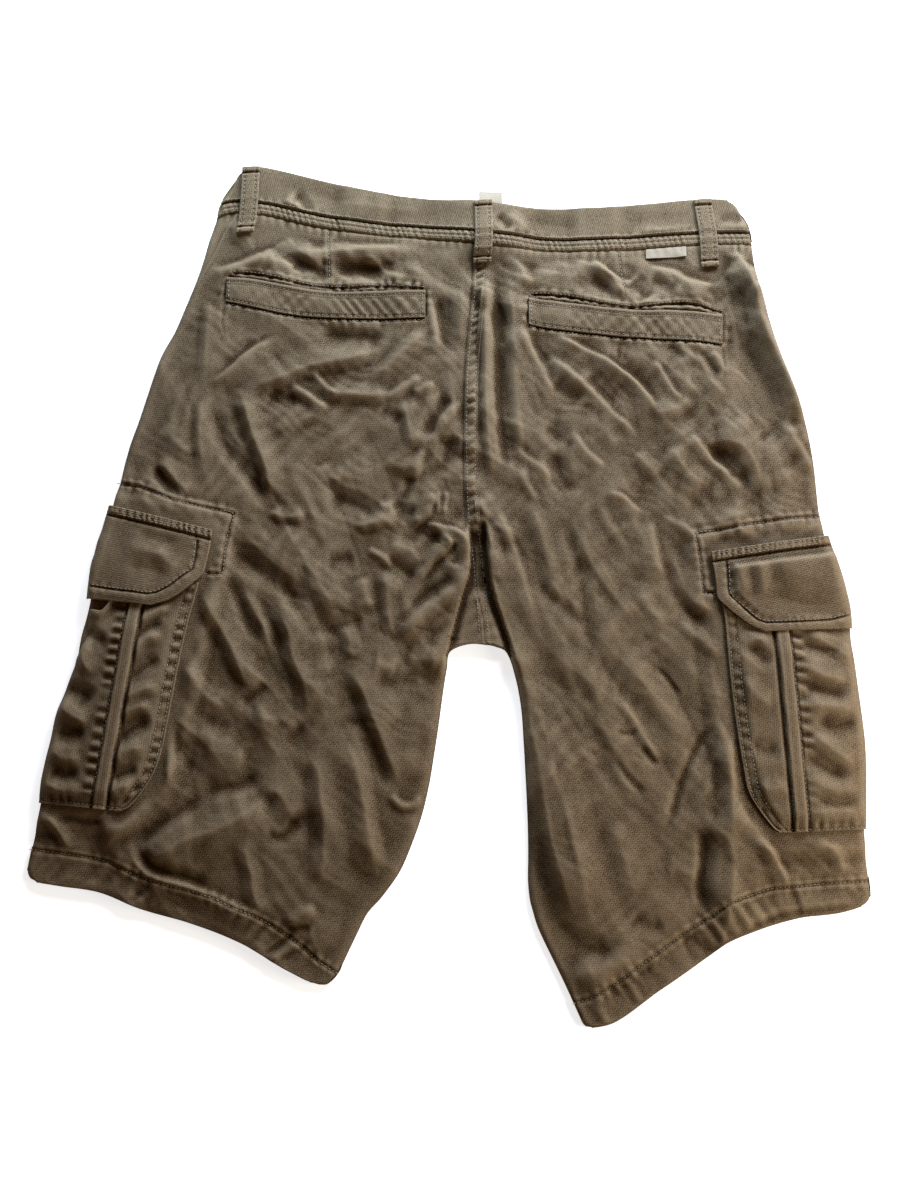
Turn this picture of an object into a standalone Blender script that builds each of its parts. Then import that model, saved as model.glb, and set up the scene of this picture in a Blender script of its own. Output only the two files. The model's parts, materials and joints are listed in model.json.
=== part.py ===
"""Cargo shorts laid flat on their front, back side up.

+X is the right of the laid-out garment, +Y runs up to the waist and +Z is up off the surface.
Tables are in millimetres, and the mesh is in metres. Every cloth piece is a wall lofted through
sections: a section starts at the side edge, where the cloth rolls round from the upper (back)
layer to the lower (front) layer, and runs inward to the seat seam or the inner leg edge.
"""

import functools
import math

import bmesh
import bpy

MM = 0.001
GARMENT = "cargo shorts"

# --- Driving sizes, mm -------------------------------------------------------------------------
CLOTH = 1.4  # panel wall
TRIM = 1.2  # wall of pockets, flaps, welts and loops
BAND_WALL = 2.4  # the doubled waistband
SEAM_GAP = 0.3
LAY_GAP = 0.45  # between a piece and the cloth that it lies on
LAYER_GAP = 0.8  # between the front and the back layer
ROLL = 6.0  # radius of a side edge's roll
CROTCH_ROLL = 2.0
HEM_RISE = 0.8  # the turned-up hem lies this much higher
SEAT_LAP = 10.0  # width of the felled seat seam
SEAT_RISE = 0.9
LOOP_WIDTH = 13.5
BUTTON_RADIUS = 8.5
BUTTON_THICK = 2.0
PLEAT_WIDTH = 10.0
PLEAT_RISE = 1.3
POCKET_PUFF = 3.2
FRONT_LAP = 20.0  # the band's ends pass the centre front by this much

BACK_TOP = CLOTH + LAYER_GAP + CLOTH
SIDE_SEAM_Z = BACK_TOP / 2
BAND_TOP = BAND_WALL + LAYER_GAP + BAND_WALL
BAND_SEAM_Z = BAND_TOP / 2
POCKET_LIFT = LAY_GAP + TRIM
LAP_LIFT = BAND_WALL + LAY_GAP
CENTRE_X = 31.5  # of the front lap
PLAN_CENTRE = (-0.25, 0.65)  # middle of the bounding box in the tables' frame
BAND_WAVE = 0.5
LOOP_BAR = 0.8  # the tacked ends are folded double
LOOP_SLACK = 1.0
LABEL_THICK = 0.6

# --- How the walls are divided, and how wide the margins about a sewn-on piece are --------------
EDGE_STEPS = (0.0, 3.2, 6.6, 11.0)  # lengths from an edge at which a section has points
ON_EDGE = 1e-4
BACK_CELLS = 12
FRONT_SHARES = {
    # shares of a front section at which it has points, to the left and to the right
    -1: (0.118, 0.216, 0.314, 0.412, 0.51, 0.598, 0.785),
    1: (0.143, 0.265, 0.393, 0.459, 0.53, 0.622, 0.815),
}
HEM_ROWS = 2
PAD_MARGIN = 12.0  # the front layer stays raised this far past a pocket, and then eases down
PAD_FADE = 14.0
CALM_MARGIN = 14.0  # and the back layer stays flat this far
CALM_FADE = 14.0
WAIST_CALM = 4.0  # flat this far below the waistband
WAIST_FADE = 22.0
PAST_EDGE = 30.0  # a pocket's outline is carried on past the side edge by this much
LAP_HALF = (FRONT_LAP + 5.0, 22.0)
LAP_FADE = 26.0
LAP_Y = 297.0
PUFF = 1.0  # the back layer stands off the front one by at least this much
STANDING = 0.8  # and a little more where nothing holds it
FOLD_TAPER = 0.3  # share of a fold over which each end fades
FOLD_END = 0.25  # share of the height left at its ends
FOLD_REACH = 3.0  # in half widths
SOFT_FLOOR = 1.6  # how softly troughs are held above nothing
WAIST_REACH = 90.0  # sections bend with the waist seam this far down
HEM_REACH = 80.0  # and with the hem this far up
CROTCH_Y = -52.0
EDGE_ANGLE = 50.0  # degrees: sharper edges stay sharp in shading

# --- Leg sections: where each meets the side edge, and where it ends inside --------------------
# The first SEAT_ROWS rows of both tables end on the seat seam, at the same points.
SEAT_ROWS = 19
LEFT_ROWS = (
    # side_x, side_y, inner_x, inner_y
    (-193.0, 303.5, 31.5, 278.5),
    (-199.0, 285.0, 31.0, 257.0),
    (-204.0, 265.5, 29.8, 235.0),
    (-210.5, 245.0, 27.5, 212.0),
    (-217.5, 225.5, 25.3, 189.0),
    (-225.0, 206.0, 23.9, 166.0),
    (-235.0, 186.5, 23.2, 143.0),
    (-241.5, 167.0, 23.0, 120.0),
    (-247.0, 148.0, 23.0, 97.0),
    (-252.5, 129.0, 23.4, 75.0),
    (-258.0, 112.0, 24.3, 55.0),
    (-262.0, 96.0, 25.9, 36.0),
    (-265.0, 80.5, 28.0, 18.0),
    (-268.0, 68.0, 29.3, 4.0),
    (-270.0, 58.0, 30.2, -7.0),
    (-272.0, 50.0, 30.9, -16.0),
    (-275.0, 38.0, 31.9, -31.0),
    (-278.0, 28.5, 32.7, -43.0),
    (-280.0, 19.0, 33.5, -53.0),
    (-282.0, 12.0, 16.0, -52.0),
    (-283.0, 5.0, 1.0, -58.0),
    (-284.0, -7.0, -1.5, -71.0),
    (-284.6, -16.0, -3.2, -81.0),
    (-287.0, -30.0, -5.5, -97.0),
    (-291.0, -47.0, -8.0, -116.0),
    (-294.0, -68.0, -11.5, -139.0),
    (-300.0, -90.0, -15.5, -163.0),
    (-306.5, -108.0, -21.0, -186.0),
    (-310.0, -128.0, -29.5, -210.0),
    (-313.0, -142.0, -38.0, -229.0),
    (-316.0, -159.0, -51.5, -248.0),
    (-316.8, -170.0, -60.0, -258.0),
    (-317.0, -176.0, -64.0, -264.0),
    (-319.5, -192.0, -71.5, -281.0),
    (-323.0, -211.0, -82.0, -303.0),
    (-323.6, -214.0, -83.2, -306.0),
    (-327.5, -235.5, -93.0, -318.0),
)
RIGHT_ROWS = (
    # side_x, side_y, inner_x, inner_y
    (252.0, 280.5, 31.5, 278.5),
    (254.2, 261.0, 31.0, 257.0),
    (258.5, 241.0, 29.8, 235.0),
    (263.5, 220.0, 27.5, 212.0),
    (268.5, 200.5, 25.3, 189.0),
    (274.5, 181.0, 23.9, 166.0),
    (281.5, 161.5, 23.2, 143.0),
    (287.5, 142.0, 23.0, 120.0),
    (291.8, 123.0, 23.0, 97.0),
    (294.8, 104.0, 23.4, 75.0),
    (296.5, 87.0, 24.3, 55.0),
    (297.5, 70.5, 25.9, 36.0),
    (298.5, 55.0, 28.0, 18.0),
    (299.8, 43.0, 29.3, 4.0),
    (301.5, 33.5, 30.2, -7.0),
    (303.6, 26.0, 30.9, -16.0),
    (307.5, 13.5, 31.9, -31.0),
    (310.3, 4.0, 32.7, -43.0),
    (312.6, -5.0, 33.5, -53.0),
    (314.0, -12.0, 38.0, -54.5),
    (315.3, -18.0, 44.5, -57.0),
    (316.5, -27.0, 49.0, -65.0),
    (316.8, -39.5, 52.5, -77.0),
    (317.0, -50.0, 55.0, -88.0),
    (319.0, -66.0, 57.5, -105.0),
    (321.0, -87.0, 59.0, -129.0),
    (323.0, -108.0, 60.2, -154.0),
    (324.5, -128.0, 61.2, -178.0),
    (324.6, -146.0, 61.8, -200.0),
    (324.0, -162.0, 61.8, -219.0),
    (323.4, -176.0, 61.5, -235.0),
    (322.8, -190.0, 62.5, -250.0),
    (322.4, -196.0, 63.8, -258.0),
    (323.0, -212.0, 70.5, -282.0),
    (325.0, -234.0, 93.0, -326.0),
    (325.3, -237.0, 94.5, -329.0),
    (327.0, -253.0, 104.0, -346.5),
)
WAIST_SEAM = (
    # x, y
    (-193.0, 303.5), (-185.0, 307.0), (-173.0, 308.0), (-160.0, 307.0), (-145.0, 304.5),
    (-130.0, 300.5), (-100.0, 294.0), (-60.0, 288.0), (-20.0, 284.5), (27.0, 278.5),
    (60.0, 275.5), (100.0, 274.0), (140.0, 275.0), (200.0, 279.5), (225.0, 280.5), (252.0, 280.5),
)
WAIST_TOP = (
    # x, y
    (-181.0, 333.0), (-176.0, 342.5), (-170.0, 346.0), (-160.0, 348.0), (-140.0, 344.0),
    (-100.0, 334.0), (-60.0, 325.0), (0.0, 317.0), (27.0, 315.5), (60.0, 311.5), (120.0, 311.5),
    (160.0, 314.5), (200.0, 319.0), (225.0, 320.0), (238.0, 318.0), (245.0, 310.0),
)
LEFT_HEM = (
    # x, y
    (-327.5, -235.5), (-300.0, -239.5), (-270.0, -244.0), (-235.0, -257.0), (-200.0, -266.5),
    (-160.0, -282.0), (-125.0, -302.0), (-93.0, -318.0),
)
RIGHT_HEM = (
    # x, y
    (327.0, -253.0), (300.0, -260.0), (270.0, -263.5), (235.0, -273.0), (214.0, -281.0),
    (200.0, -291.0), (160.0, -318.0), (128.0, -340.0), (104.0, -346.5),
)
BAND_LEFT_END = (
    # share of the band's depth, x of its left end
    (0.0, -193.0), (0.35, -190.5), (0.7, -185.5), (0.9, -180.5), (1.0, -172.0),
)
BAND_RIGHT_END = (
    # share of the band's depth, x of its right end
    (0.0, 252.0), (0.4, 250.5), (0.75, 246.5), (0.92, 240.5), (1.0, 232.0),
)
BAND_ROWS = (
    # share of the band's depth, how deep a groove lies there
    (0.0, 0.3), (0.05, 0.0), (0.2, 0.0), (0.25, 0.6), (0.3, 0.0), (0.65, -0.2), (1.0, 0.3),
)
SIDE_SEAM_TURN = (
    # side_y, how far the front panel comes round on top
    (305.0, 20.0), (285.0, 13.0), (268.0, 8.0), (255.0, 5.0), (240.0, 0.0),
)
# --- Cargo pockets: sections from the side edge to the pocket's inner edge ---------------------
LEFT_POCKET = (
    # side_y, inner_x, inner_y
    (50.0, -189.5, 28.0),
    (38.0, -191.5, 17.0),
    (28.5, -193.0, 8.0),
    (19.0, -195.5, 0.0),
    (12.0, -198.0, -5.0),
    (5.0, -199.5, -11.0),
    (-7.0, -201.5, -20.0),
    (-16.0, -203.5, -27.0),
    (-30.0, -206.5, -41.0),
    (-47.0, -209.5, -56.0),
    (-68.0, -213.0, -76.0),
    (-90.0, -216.5, -98.0),
    (-108.0, -219.5, -117.0),
    (-128.0, -223.0, -136.0),
    (-142.0, -228.0, -152.0),
    (-159.0, -237.0, -168.0),
    (-170.0, -246.0, -179.0),
    (-176.0, -253.0, -182.5),
)
RIGHT_POCKET = (
    # side_y, inner_x, inner_y
    (26.0, 210.0, 10.0),
    (13.5, 212.0, -2.0),
    (4.0, 213.5, -11.0),
    (-5.0, 215.0, -18.0),
    (-12.0, 216.5, -23.0),
    (-18.0, 217.5, -28.0),
    (-27.0, 218.3, -36.0),
    (-39.5, 219.0, -48.0),
    (-50.0, 219.6, -59.0),
    (-66.0, 220.5, -73.0),
    (-87.0, 222.0, -92.0),
    (-108.0, 224.0, -112.0),
    (-128.0, 226.3, -131.0),
    (-146.0, 229.0, -150.0),
    (-162.0, 232.0, -167.0),
    (-176.0, 239.5, -181.0),
    (-190.0, 249.5, -194.5),
    (-196.0, 254.5, -198.5),
)
LEFT_FLAP = (
    # side_y, inner_x, inner_y
    (58.0, -188.0, 37.0),
    (50.0, -189.0, 30.0),
    (38.0, -190.5, 20.0),
    (28.5, -192.5, 11.0),
    (19.0, -195.0, 2.0),
    (12.0, -202.0, -5.0),
    (5.0, -210.0, -11.5),
    (-7.0, -221.0, -18.5),
    (-16.0, -234.0, -22.5),
)
RIGHT_FLAP = (
    # side_y, inner_x, inner_y
    (33.5, 208.5, 19.5),
    (26.0, 209.5, 12.5),
    (13.5, 211.0, 2.0),
    (4.0, 212.0, -8.0),
    (-5.0, 213.0, -17.0),
    (-12.0, 220.0, -24.5),
    (-18.0, 227.5, -31.0),
    (-27.0, 237.0, -38.0),
    (-39.5, 248.0, -43.0),
)
# The pleat's strip: its inner edge at the pocket's mouth and at its foot.
LEFT_PLEAT = ((-242.0, -24.0), (-264.0, -178.0))
RIGHT_PLEAT = ((257.0, -43.0), (266.0, -196.0))
BAND_RISE = 1.0  # the flap's stitched-down top band
GATHER = 0.9  # the pocket's cloth, gathered along its seams

# --- Back pocket welts: corners of the stitched-down strip -------------------------------------
LEFT_WELT = (
    # x, top_y, bottom_y
    (-182.0, 249.5, 230.0), (-160.0, 247.5, 225.0), (-140.0, 243.5, 220.5), (-120.0, 239.5, 217.5),
    (-100.0, 237.2, 216.0), (-80.0, 236.5, 215.3), (-60.0, 237.0, 215.0), (-40.0, 237.5, 215.0),
    (-19.5, 237.5, 215.5),
)
RIGHT_WELT = (
    # x, top_y, bottom_y
    (66.0, 231.5, 210.0), (85.0, 229.0, 206.5), (105.0, 226.5, 204.0), (125.0, 223.5, 201.8),
    (145.0, 221.5, 199.8), (165.0, 220.7, 198.5), (185.0, 220.8, 197.5), (205.0, 219.5, 196.0),
    (223.5, 217.5, 194.0),
)
# --- Belt loops: foot and head of each centre line ---------------------------------------------
BACK_LOOPS = (
    # name, foot_x, foot_y, head_x, head_y
    ("belt_loop_back_left", -168.5, 291.0, -164.0, 345.5),
    ("belt_loop_back_centre", 27.5, 263.0, 29.5, 314.0),
    ("belt_loop_back_right", 216.0, 262.0, 212.0, 318.0),
)
FRONT_LOOPS = (
    # name, foot_x, foot_y, head_x, head_y
    ("belt_loop_front_left", -70.0, 272.0, -70.0, 324.0),
    ("belt_loop_front_right", 124.0, 262.0, 124.0, 310.0),
)
FLY = (-8.0, 27.0, 130.0, 274.0)  # x from, x to, y from, y to
BUTTON_AT = (32.0, 297.0)
FLAG_LABEL = ((163.5, 275.6), (196.5, 278.4), (196.5, 270.0), (163.5, 268.0))
SIZE_TAG = ((25.5, 326.0), (44.5, 325.5), (44.5, 314.2), (25.5, 316.2))

# --- The largest folds of the back: a soft ridge, or a trough, through three points ------------
FOLDS = (
    # x0, y0, x1, y1, x2, y2, half_width, height
    (-168, 150, -132, 92, -100, 14, 13, 6.0),  # long ridge down the left seat
    (-182, 128, -168, 88, -142, 52, 13, -2.5),
    (-35, 205, -90, 176, -190, 155, 12, 4.5),  # ridges under the left welt
    (-100, 192, -60, 190, -40, 196, 10, 3.0),
    (-128, 152, -85, 146, -50, 150, 9, -2.0),
    (-34, 142, -28, 130, -22, 112, 7, 2.6),
    (-205, 158, -206, 130, -198, 92, 7, -1.6),
    (-70, 62, -45, 50, -10, 62, 9, 3.0),
    (-60, 20, -40, 4, -15, 28, 12, 3.0),
    (-48, -52, -30, -28, 14, 2, 12, 6.5),  # lobe beside the crotch, left
    (-12, 44, 6, 34, 10, 8, 10, 6.5),
    (-2, -12, -9, -40, -12, -70, 10, 6.0),
    (-196, -8, -178, -42, -160, -82, 12, 5.5),
    (-200, -52, -178, -80, -160, -96, 8, 2.6),
    (-132, -28, -118, -66, -104, -112, 13, 5.5),
    (-110, -100, -96, -135, -88, -160, 14, 4.5),
    (-66, -66, -52, -120, -34, -172, 12, 6.5),
    (-84, -74, -68, -118, -46, -164, 10, -2.0),
    (-236, -212, -186, -182, -136, -158, 13, 7.0),  # broad ridge across the lower left leg
    (-232, -238, -196, -226, -150, -196, 13, -2.0),
    (-156, -206, -152, -236, -136, -262, 9, 3.6),
    (-66, -168, -62, -205, -58, -240, 11, 4.5),
    (-120, -205, -104, -225, -96, -255, 12, 3.0),
    (86, 204, 122, 178, 170, 138, 9, 5.0),  # ridges under the right welt
    (92, 178, 122, 150, 150, 118, 8, 4.0),
    (46, 250, 44, 160, 54, 70, 9, -2.2),
    (60, 262, 66, 180, 74, 120, 10, 3.0),
    (244, 262, 254, 205, 272, 140, 9, -2.5),
    (232, 250, 236, 215, 240, 178, 9, 3.4),
    (186, 132, 210, 98, 226, 58, 11, 4.5),
    (226, 114, 236, 92, 240, 70, 9, -2.4),
    (36, 50, 48, 24, 47, -14, 10, 6.5),  # lobe beside the crotch, right
    (50, -20, 60, -60, 70, -100, 11, 6.5),
    (72, -60, 80, -150, 108, -250, 15, 7.0),  # the long ridge down the inner leg
    (102, 42, 110, -10, 112, -56, 10, -2.4),
    (104, 70, 124, 10, 142, -32, 11, 4.0),
    (136, 66, 146, 58, 158, 50, 6, 2.6),
    (160, 40, 176, 0, 196, -34, 9, -2.0),
    (186, 62, 196, 20, 208, -14, 8, 3.0),
    (122, -76, 116, -130, 140, -182, 11, 3.0),
    (200, -100, 176, -160, 150, -215, 14, 3.2),
    (203, -186, 204, -220, 206, -262, 10, -2.4),
    (221, -200, 222, -225, 224, -262, 10, 4.0),
    (92, -262, 102, -285, 112, -305, 11, 4.0),
)
# Places where the cloth is held flat by what is sewn on it: centre, half sizes and how far it fades.
CALM = (
    # x, y, half_x, half_y, fade
    (-100.0, 231.0, 92.0, 27.0, 14.0),
    (145.0, 212.0, 90.0, 28.0, 14.0),
)

COLOURS = {
    # name: (red, green, blue, roughness, metallic)
    "back twill": (0.165, 0.130, 0.078, 0.9, 0.0),
    "front twill": (0.155, 0.122, 0.074, 0.9, 0.0),
    "band twill": (0.175, 0.142, 0.088, 0.9, 0.0),
    "pocket twill": (0.160, 0.125, 0.074, 0.9, 0.0),
    "flap twill": (0.170, 0.135, 0.080, 0.9, 0.0),
    "loop twill": (0.180, 0.145, 0.090, 0.9, 0.0),
    "white label": (0.80, 0.80, 0.77, 0.85, 0.0),
    "horn button": (0.10, 0.075, 0.045, 0.45, 0.0),
}


# --- Small functions ---------------------------------------------------------------------------
def ease(t):
    """0 below 0, 1 above 1, and a smooth step between."""
    t = min(max(t, 0.0), 1.0)
    return t * t * (3.0 - 2.0 * t)


def curve(table, x):
    """The second column of a table at x, along a smooth curve through its rows."""
    rows = sorted(table)
    if x <= rows[0][0]:
        return rows[0][1]
    if x >= rows[-1][0]:
        return rows[-1][1]
    i = max(k for k in range(len(rows) - 1) if rows[k][0] <= x)
    (x0, y0), (x1, y1) = rows[i], rows[i + 1]
    before = rows[max(i - 1, 0)]
    after = rows[min(i + 2, len(rows) - 1)]
    slope_0 = (y1 - before[1]) / (x1 - before[0])
    slope_1 = (after[1] - y0) / (after[0] - x0)
    span = x1 - x0
    t = (x - x0) / span
    return (
        y0 * (1 + 2 * t) * (1 - t) ** 2
        + slope_0 * span * t * (1 - t) ** 2
        + y1 * t * t * (3 - 2 * t)
        + slope_1 * span * t * t * (t - 1)
    )


def mix(a, b, t):
    return a + (b - a) * t


def line_x(ends, y):
    """x at height y on the straight line through two points."""
    (x0, y0), (x1, y1) = ends
    return mix(x0, x1, (y - y0) / (y1 - y0))


def distance_along(points, x, y):
    """(distance, share) from (x, y) to a chain of points: the share runs from 0 to 1 along it."""
    lengths = [math.dist(points[i], points[i + 1]) for i in range(len(points) - 1)]
    total = sum(lengths)
    best = (math.inf, 0.0)
    before = 0.0
    for (x0, y0), (x1, y1), length in zip(points, points[1:], lengths):
        t = ((x - x0) * (x1 - x0) + (y - y0) * (y1 - y0)) / length**2
        t = min(max(t, 0.0), 1.0)
        away = math.hypot(x - mix(x0, x1, t), y - mix(y0, y1, t))
        best = min(best, (away, (before + t * length) / total))
        before += length
    return best


def patch_mask(x, y, centre_x, centre_y, half_x, half_y, fade):
    """1 inside a rectangle, easing to 0 over the fade outside it."""
    out_x = max(abs(x - centre_x) - half_x, 0.0)
    out_y = max(abs(y - centre_y) - half_y, 0.0)
    return 1.0 - ease(math.hypot(out_x, out_y) / fade)


# --- Where pockets and flaps lie ----------------------------------------------------------------
def side_edge(side):
    """(y, x) along a leg's side edge."""
    return [(row[1], row[0]) for row in (LEFT_ROWS if side < 0 else RIGHT_ROWS)]


def patch_outline(side, table):
    """The plan outline of a piece that wraps the side edge, carried on past that edge."""
    edge = side_edge(side)
    inner = [(row[1], row[2]) for row in table]
    beyond = [(curve(edge, row[0]) + side * PAST_EDGE, row[0]) for row in table]
    return inner + beyond[::-1]


def outside_by(outline, x, y):
    """Distance from (x, y) to a closed outline, 0 inside it."""
    inside = False
    away = math.inf
    for (x0, y0), (x1, y1) in zip(outline, outline[1:] + outline[:1]):
        if (y0 > y) != (y1 > y) and x < mix(x0, x1, (y - y0) / (y1 - y0)):
            inside = not inside
        away = min(away, distance_along(((x0, y0), (x1, y1)), x, y)[0])
    return 0.0 if inside else away


OUTLINES = {
    -1: (patch_outline(-1, LEFT_POCKET), patch_outline(-1, LEFT_FLAP)),
    1: (patch_outline(1, RIGHT_POCKET), patch_outline(1, RIGHT_FLAP)),
}


@functools.lru_cache(maxsize=None)
def off_pocket_and_flap(x, y):
    """How far a point lies outside the cargo pocket and outside its flap."""
    if abs(x) < 150.0 or not -240.0 < y < 110.0:
        return 100.0, 100.0
    pocket, flap = OUTLINES[-1 if x < 0 else 1]
    return outside_by(pocket, x, y), outside_by(flap, x, y)


def pocket_share(side, x, y):
    """(across, down) on a cargo pocket: 0 to 1 from its inner edge to the side, and from mouth to foot."""
    table = LEFT_POCKET if side < 0 else RIGHT_POCKET
    inner = curve([(row[2], row[1]) for row in table], y)
    outer = curve(side_edge(side), y)
    top, foot = table[0][2], table[-1][2]
    return (x - inner) / (outer - inner), (top - y) / (top - foot)


PADS = (
    # x, y, half_x, half_y, fade, thickness: what lies under the front layer
    (FRONT_LOOPS[0][1], 298.0, LOOP_WIDTH / 2 + 5.0, 30.0, 14.0, LAY_GAP + TRIM),
    (FRONT_LOOPS[1][1], 286.0, LOOP_WIDTH / 2 + 5.0, 29.0, 14.0, LAY_GAP + TRIM),
    (9.5, 202.0, 45.0, 84.0, 22.0, LAY_GAP + TRIM),
    (BUTTON_AT[0], BUTTON_AT[1], 13.0, 13.0, 22.0, LAY_GAP + BUTTON_THICK),
)


def lift(x, y):
    """How far the front layer stands off the surface, over what lies beneath it."""
    high = 1.0 - ease((min(off_pocket_and_flap(x, y)) - PAD_MARGIN) / PAD_FADE)
    return high * 2.0 * POCKET_LIFT + sum(thick * patch_mask(x, y, *place) for *place, thick in PADS)


def lap_lift(x, y):
    """How far the band's lapped front end raises what lies above it."""
    return LAP_LIFT * patch_mask(x, y, CENTRE_X, LAP_Y, *LAP_HALF, LAP_FADE)


# --- Heights of the back layer -----------------------------------------------------------------
def fold_height(x, y):
    """The sum of the folds, smoothly held at or above nothing."""
    total = STANDING
    for x0, y0, x1, y1, x2, y2, half_width, height in FOLDS:
        away, share = distance_along(((x0, y0), (x1, y1), (x2, y2)), x, y)
        if away < FOLD_REACH * half_width:
            taper = ease(share / FOLD_TAPER) * ease((1.0 - share) / FOLD_TAPER)
            total += height * mix(FOLD_END, 1.0, taper) * math.exp(-((away / half_width) ** 2))
    return 0.5 * (total + math.hypot(total, SOFT_FLOOR))


def held_flat(x, y):
    """1 where pockets, welts or the waistband hold the cloth, 0 where it folds freely."""
    held = max(1.0 - ease((away - CALM_MARGIN) / CALM_FADE) for away in off_pocket_and_flap(x, y))
    held = max([held] + [patch_mask(x, y, *place) for place in CALM])
    return max(held, 1.0 - ease((curve(WAIST_SEAM, x) - y - WAIST_CALM) / WAIST_FADE))


def seat_lap(x, y):
    """1 on the felled lap of the seat seam, left of the seam line."""
    if y < CROTCH_Y:
        return 0.0
    from_seam = curve([(row[3], row[2]) for row in LEFT_ROWS[:SEAT_ROWS]], y) - x
    return ease(from_seam + 1.0) * ease((SEAT_LAP + 1.0 - from_seam) / 1.5)


def back_height(x, y):
    """Height of the back layer's upper face, where it isn't rolling over an edge."""
    under = BACK_TOP + lift(x, y) + lap_lift(x, y)
    return under + PUFF + (1.0 - held_flat(x, y)) * fold_height(x, y) + SEAT_RISE * seat_lap(x, y)


def band_height(x, y):
    return BAND_TOP + lift(x, y) + lap_lift(x, y) + BAND_WAVE * math.sin(0.045 * x + 0.6)


def pocket_puff(side, x, y):
    """How far a cargo pocket's cloth stands off the panel, inside and out."""
    across, down = pocket_share(side, x, y)
    inside = ease(across / 0.35) * ease((1.12 - across) / 0.35)
    return POCKET_PUFF * inside * ease((down - 0.16) / 0.3) * ease((1.0 - down) / 0.16)


def pocket_relief(side, x, y):
    """What the pleat and the gathers add to a cargo pocket's outer face."""
    across, down = pocket_share(side, x, y)
    pleat = LEFT_PLEAT if side < 0 else RIGHT_PLEAT
    out = (x - line_x(pleat, y)) * side
    strip = ease((out + 0.6) / 1.2) * ease((PLEAT_WIDTH + 0.6 - out) / 1.2)
    gather = GATHER * (0.5 + 0.5 * math.sin(0.19 * y + 2.0 * across))
    gather *= ease(across / 0.2) * ease((1.0 - down) / 0.1)
    return ease((down - 0.27) / 0.05) * (PLEAT_RISE * strip + gather)


# --- Sections ----------------------------------------------------------------------------------
def row_plan(side, row):
    """A function from the share along a leg section to its point in plan.

    Near the top it bends with the waist seam, and near the foot with the hem.
    """
    rows, hem = (LEFT_ROWS, LEFT_HEM) if side < 0 else (RIGHT_ROWS, RIGHT_HEM)
    side_x, side_y, inner_x, inner_y = row

    def plan(share):
        x = mix(side_x, inner_x, share)
        y = mix(side_y, inner_y, share)
        for edge, first, reach in ((WAIST_SEAM, rows[0], WAIST_REACH), (hem, rows[-1], HEM_REACH)):
            held = 1.0 - ease(abs(side_y - first[1]) / reach)
            straight = mix(first[1], first[3], (x - first[0]) / (first[2] - first[0]))
            y += held * (curve(edge, x) - straight)
        return x, y

    return plan


def rolled(path, radius):
    """(inward distance, roll) at a length along a section: the roll is 0 on the edge and 1 past it."""
    quarter = radius * math.pi / 2.0
    if path >= quarter:
        return path - quarter + radius, 1.0
    angle = path / radius
    return radius * (1.0 - math.cos(angle)), math.sin(angle)


def edge_distance(path, radius, out):
    """(distance, roll) of a point moved off the skin by out, from an edge of that radius."""
    distance, roll = rolled(path, radius)
    return distance - out * math.sqrt(1.0 - roll * roll), roll


def path_length(width, *radii):
    """Length of a section across a width, with a quarter roll at each of the given radii."""
    return width + sum(radii) * (math.pi / 2.0 - 1.0)


def skin_point(plan, width, path, out, top=back_height, inner_roll=0.0, seam_z=SIDE_SEAM_Z):
    """A point off the garment's skin.

    The path is the length from the side edge: over the top where positive, beneath where
    negative. The inner roll is the radius of the far edge, if the cloth rolls there too.
    """
    length = abs(path)
    distance, roll = edge_distance(length, ROLL, out)
    if inner_roll:
        far, far_roll = edge_distance(path_length(width, ROLL, inner_roll) - length, inner_roll, out)
        if far_roll < 1.0:
            distance, roll = width - far, far_roll
    x, y = plan(distance / width)
    middle = seam_z + lift(x, y)
    if path > 0.0:
        middle += SEAM_GAP / 2
        return x, y, middle + (top(x, y) + out - middle) * roll
    middle -= SEAM_GAP / 2
    return x, y, middle - (middle - lift(x, y) + out) * roll


# --- Meshes ------------------------------------------------------------------------------------
def wall(name, outer, inner, material):
    """A closed wall between two grids of points, given as rows of (x, y, z) in millimetres."""
    rows, columns = len(outer), len(outer[0])
    shape = bmesh.new()
    grids = [[[shape.verts.new([c * MM for c in p]) for p in row] for row in grid] for grid in (outer, inner)]
    for grid in grids:
        for upper, lower in zip(grid, grid[1:]):
            for j in range(columns - 1):
                shape.faces.new((upper[j], upper[j + 1], lower[j + 1], lower[j]))
    rim = [(0, j) for j in range(columns)]
    rim += [(i, columns - 1) for i in range(1, rows)]
    rim += [(rows - 1, j) for j in range(columns - 2, -1, -1)]
    rim += [(i, 0) for i in range(rows - 2, 0, -1)]
    for (i0, j0), (i1, j1) in zip(rim, rim[1:] + rim[:1]):
        shape.faces.new((grids[0][i0][j0], grids[0][i1][j1], grids[1][i1][j1], grids[1][i0][j0]))
    bmesh.ops.recalc_face_normals(shape, faces=shape.faces[:])
    mesh = bpy.data.meshes.new(name)
    shape.to_mesh(mesh)
    shape.free()
    return finished(bpy.data.objects.new(name, mesh), material)


def finished(piece, material):
    """The piece in the garment's collection, in its material, shaded smooth but for its sharp edges."""
    piece.data.materials.clear()
    piece.data.materials.append(material)
    piece.data.shade_smooth()
    piece.data.set_sharp_from_angle(angle=math.radians(EDGE_ANGLE))
    for owner in piece.users_collection:
        owner.objects.unlink(piece)
    bpy.data.collections[GARMENT].objects.link(piece)
    return piece


def make_material(name):
    red, green, blue, roughness, metallic = COLOURS[name]
    material = bpy.data.materials.new(name)
    material.use_nodes = True
    surface = material.node_tree.nodes["Principled BSDF"]
    surface.inputs["Base Color"].default_value = (red, green, blue, 1.0)
    surface.inputs["Roughness"].default_value = roughness
    surface.inputs["Metallic"].default_value = metallic
    material.diffuse_color = (red, green, blue, 1.0)
    return material


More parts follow.
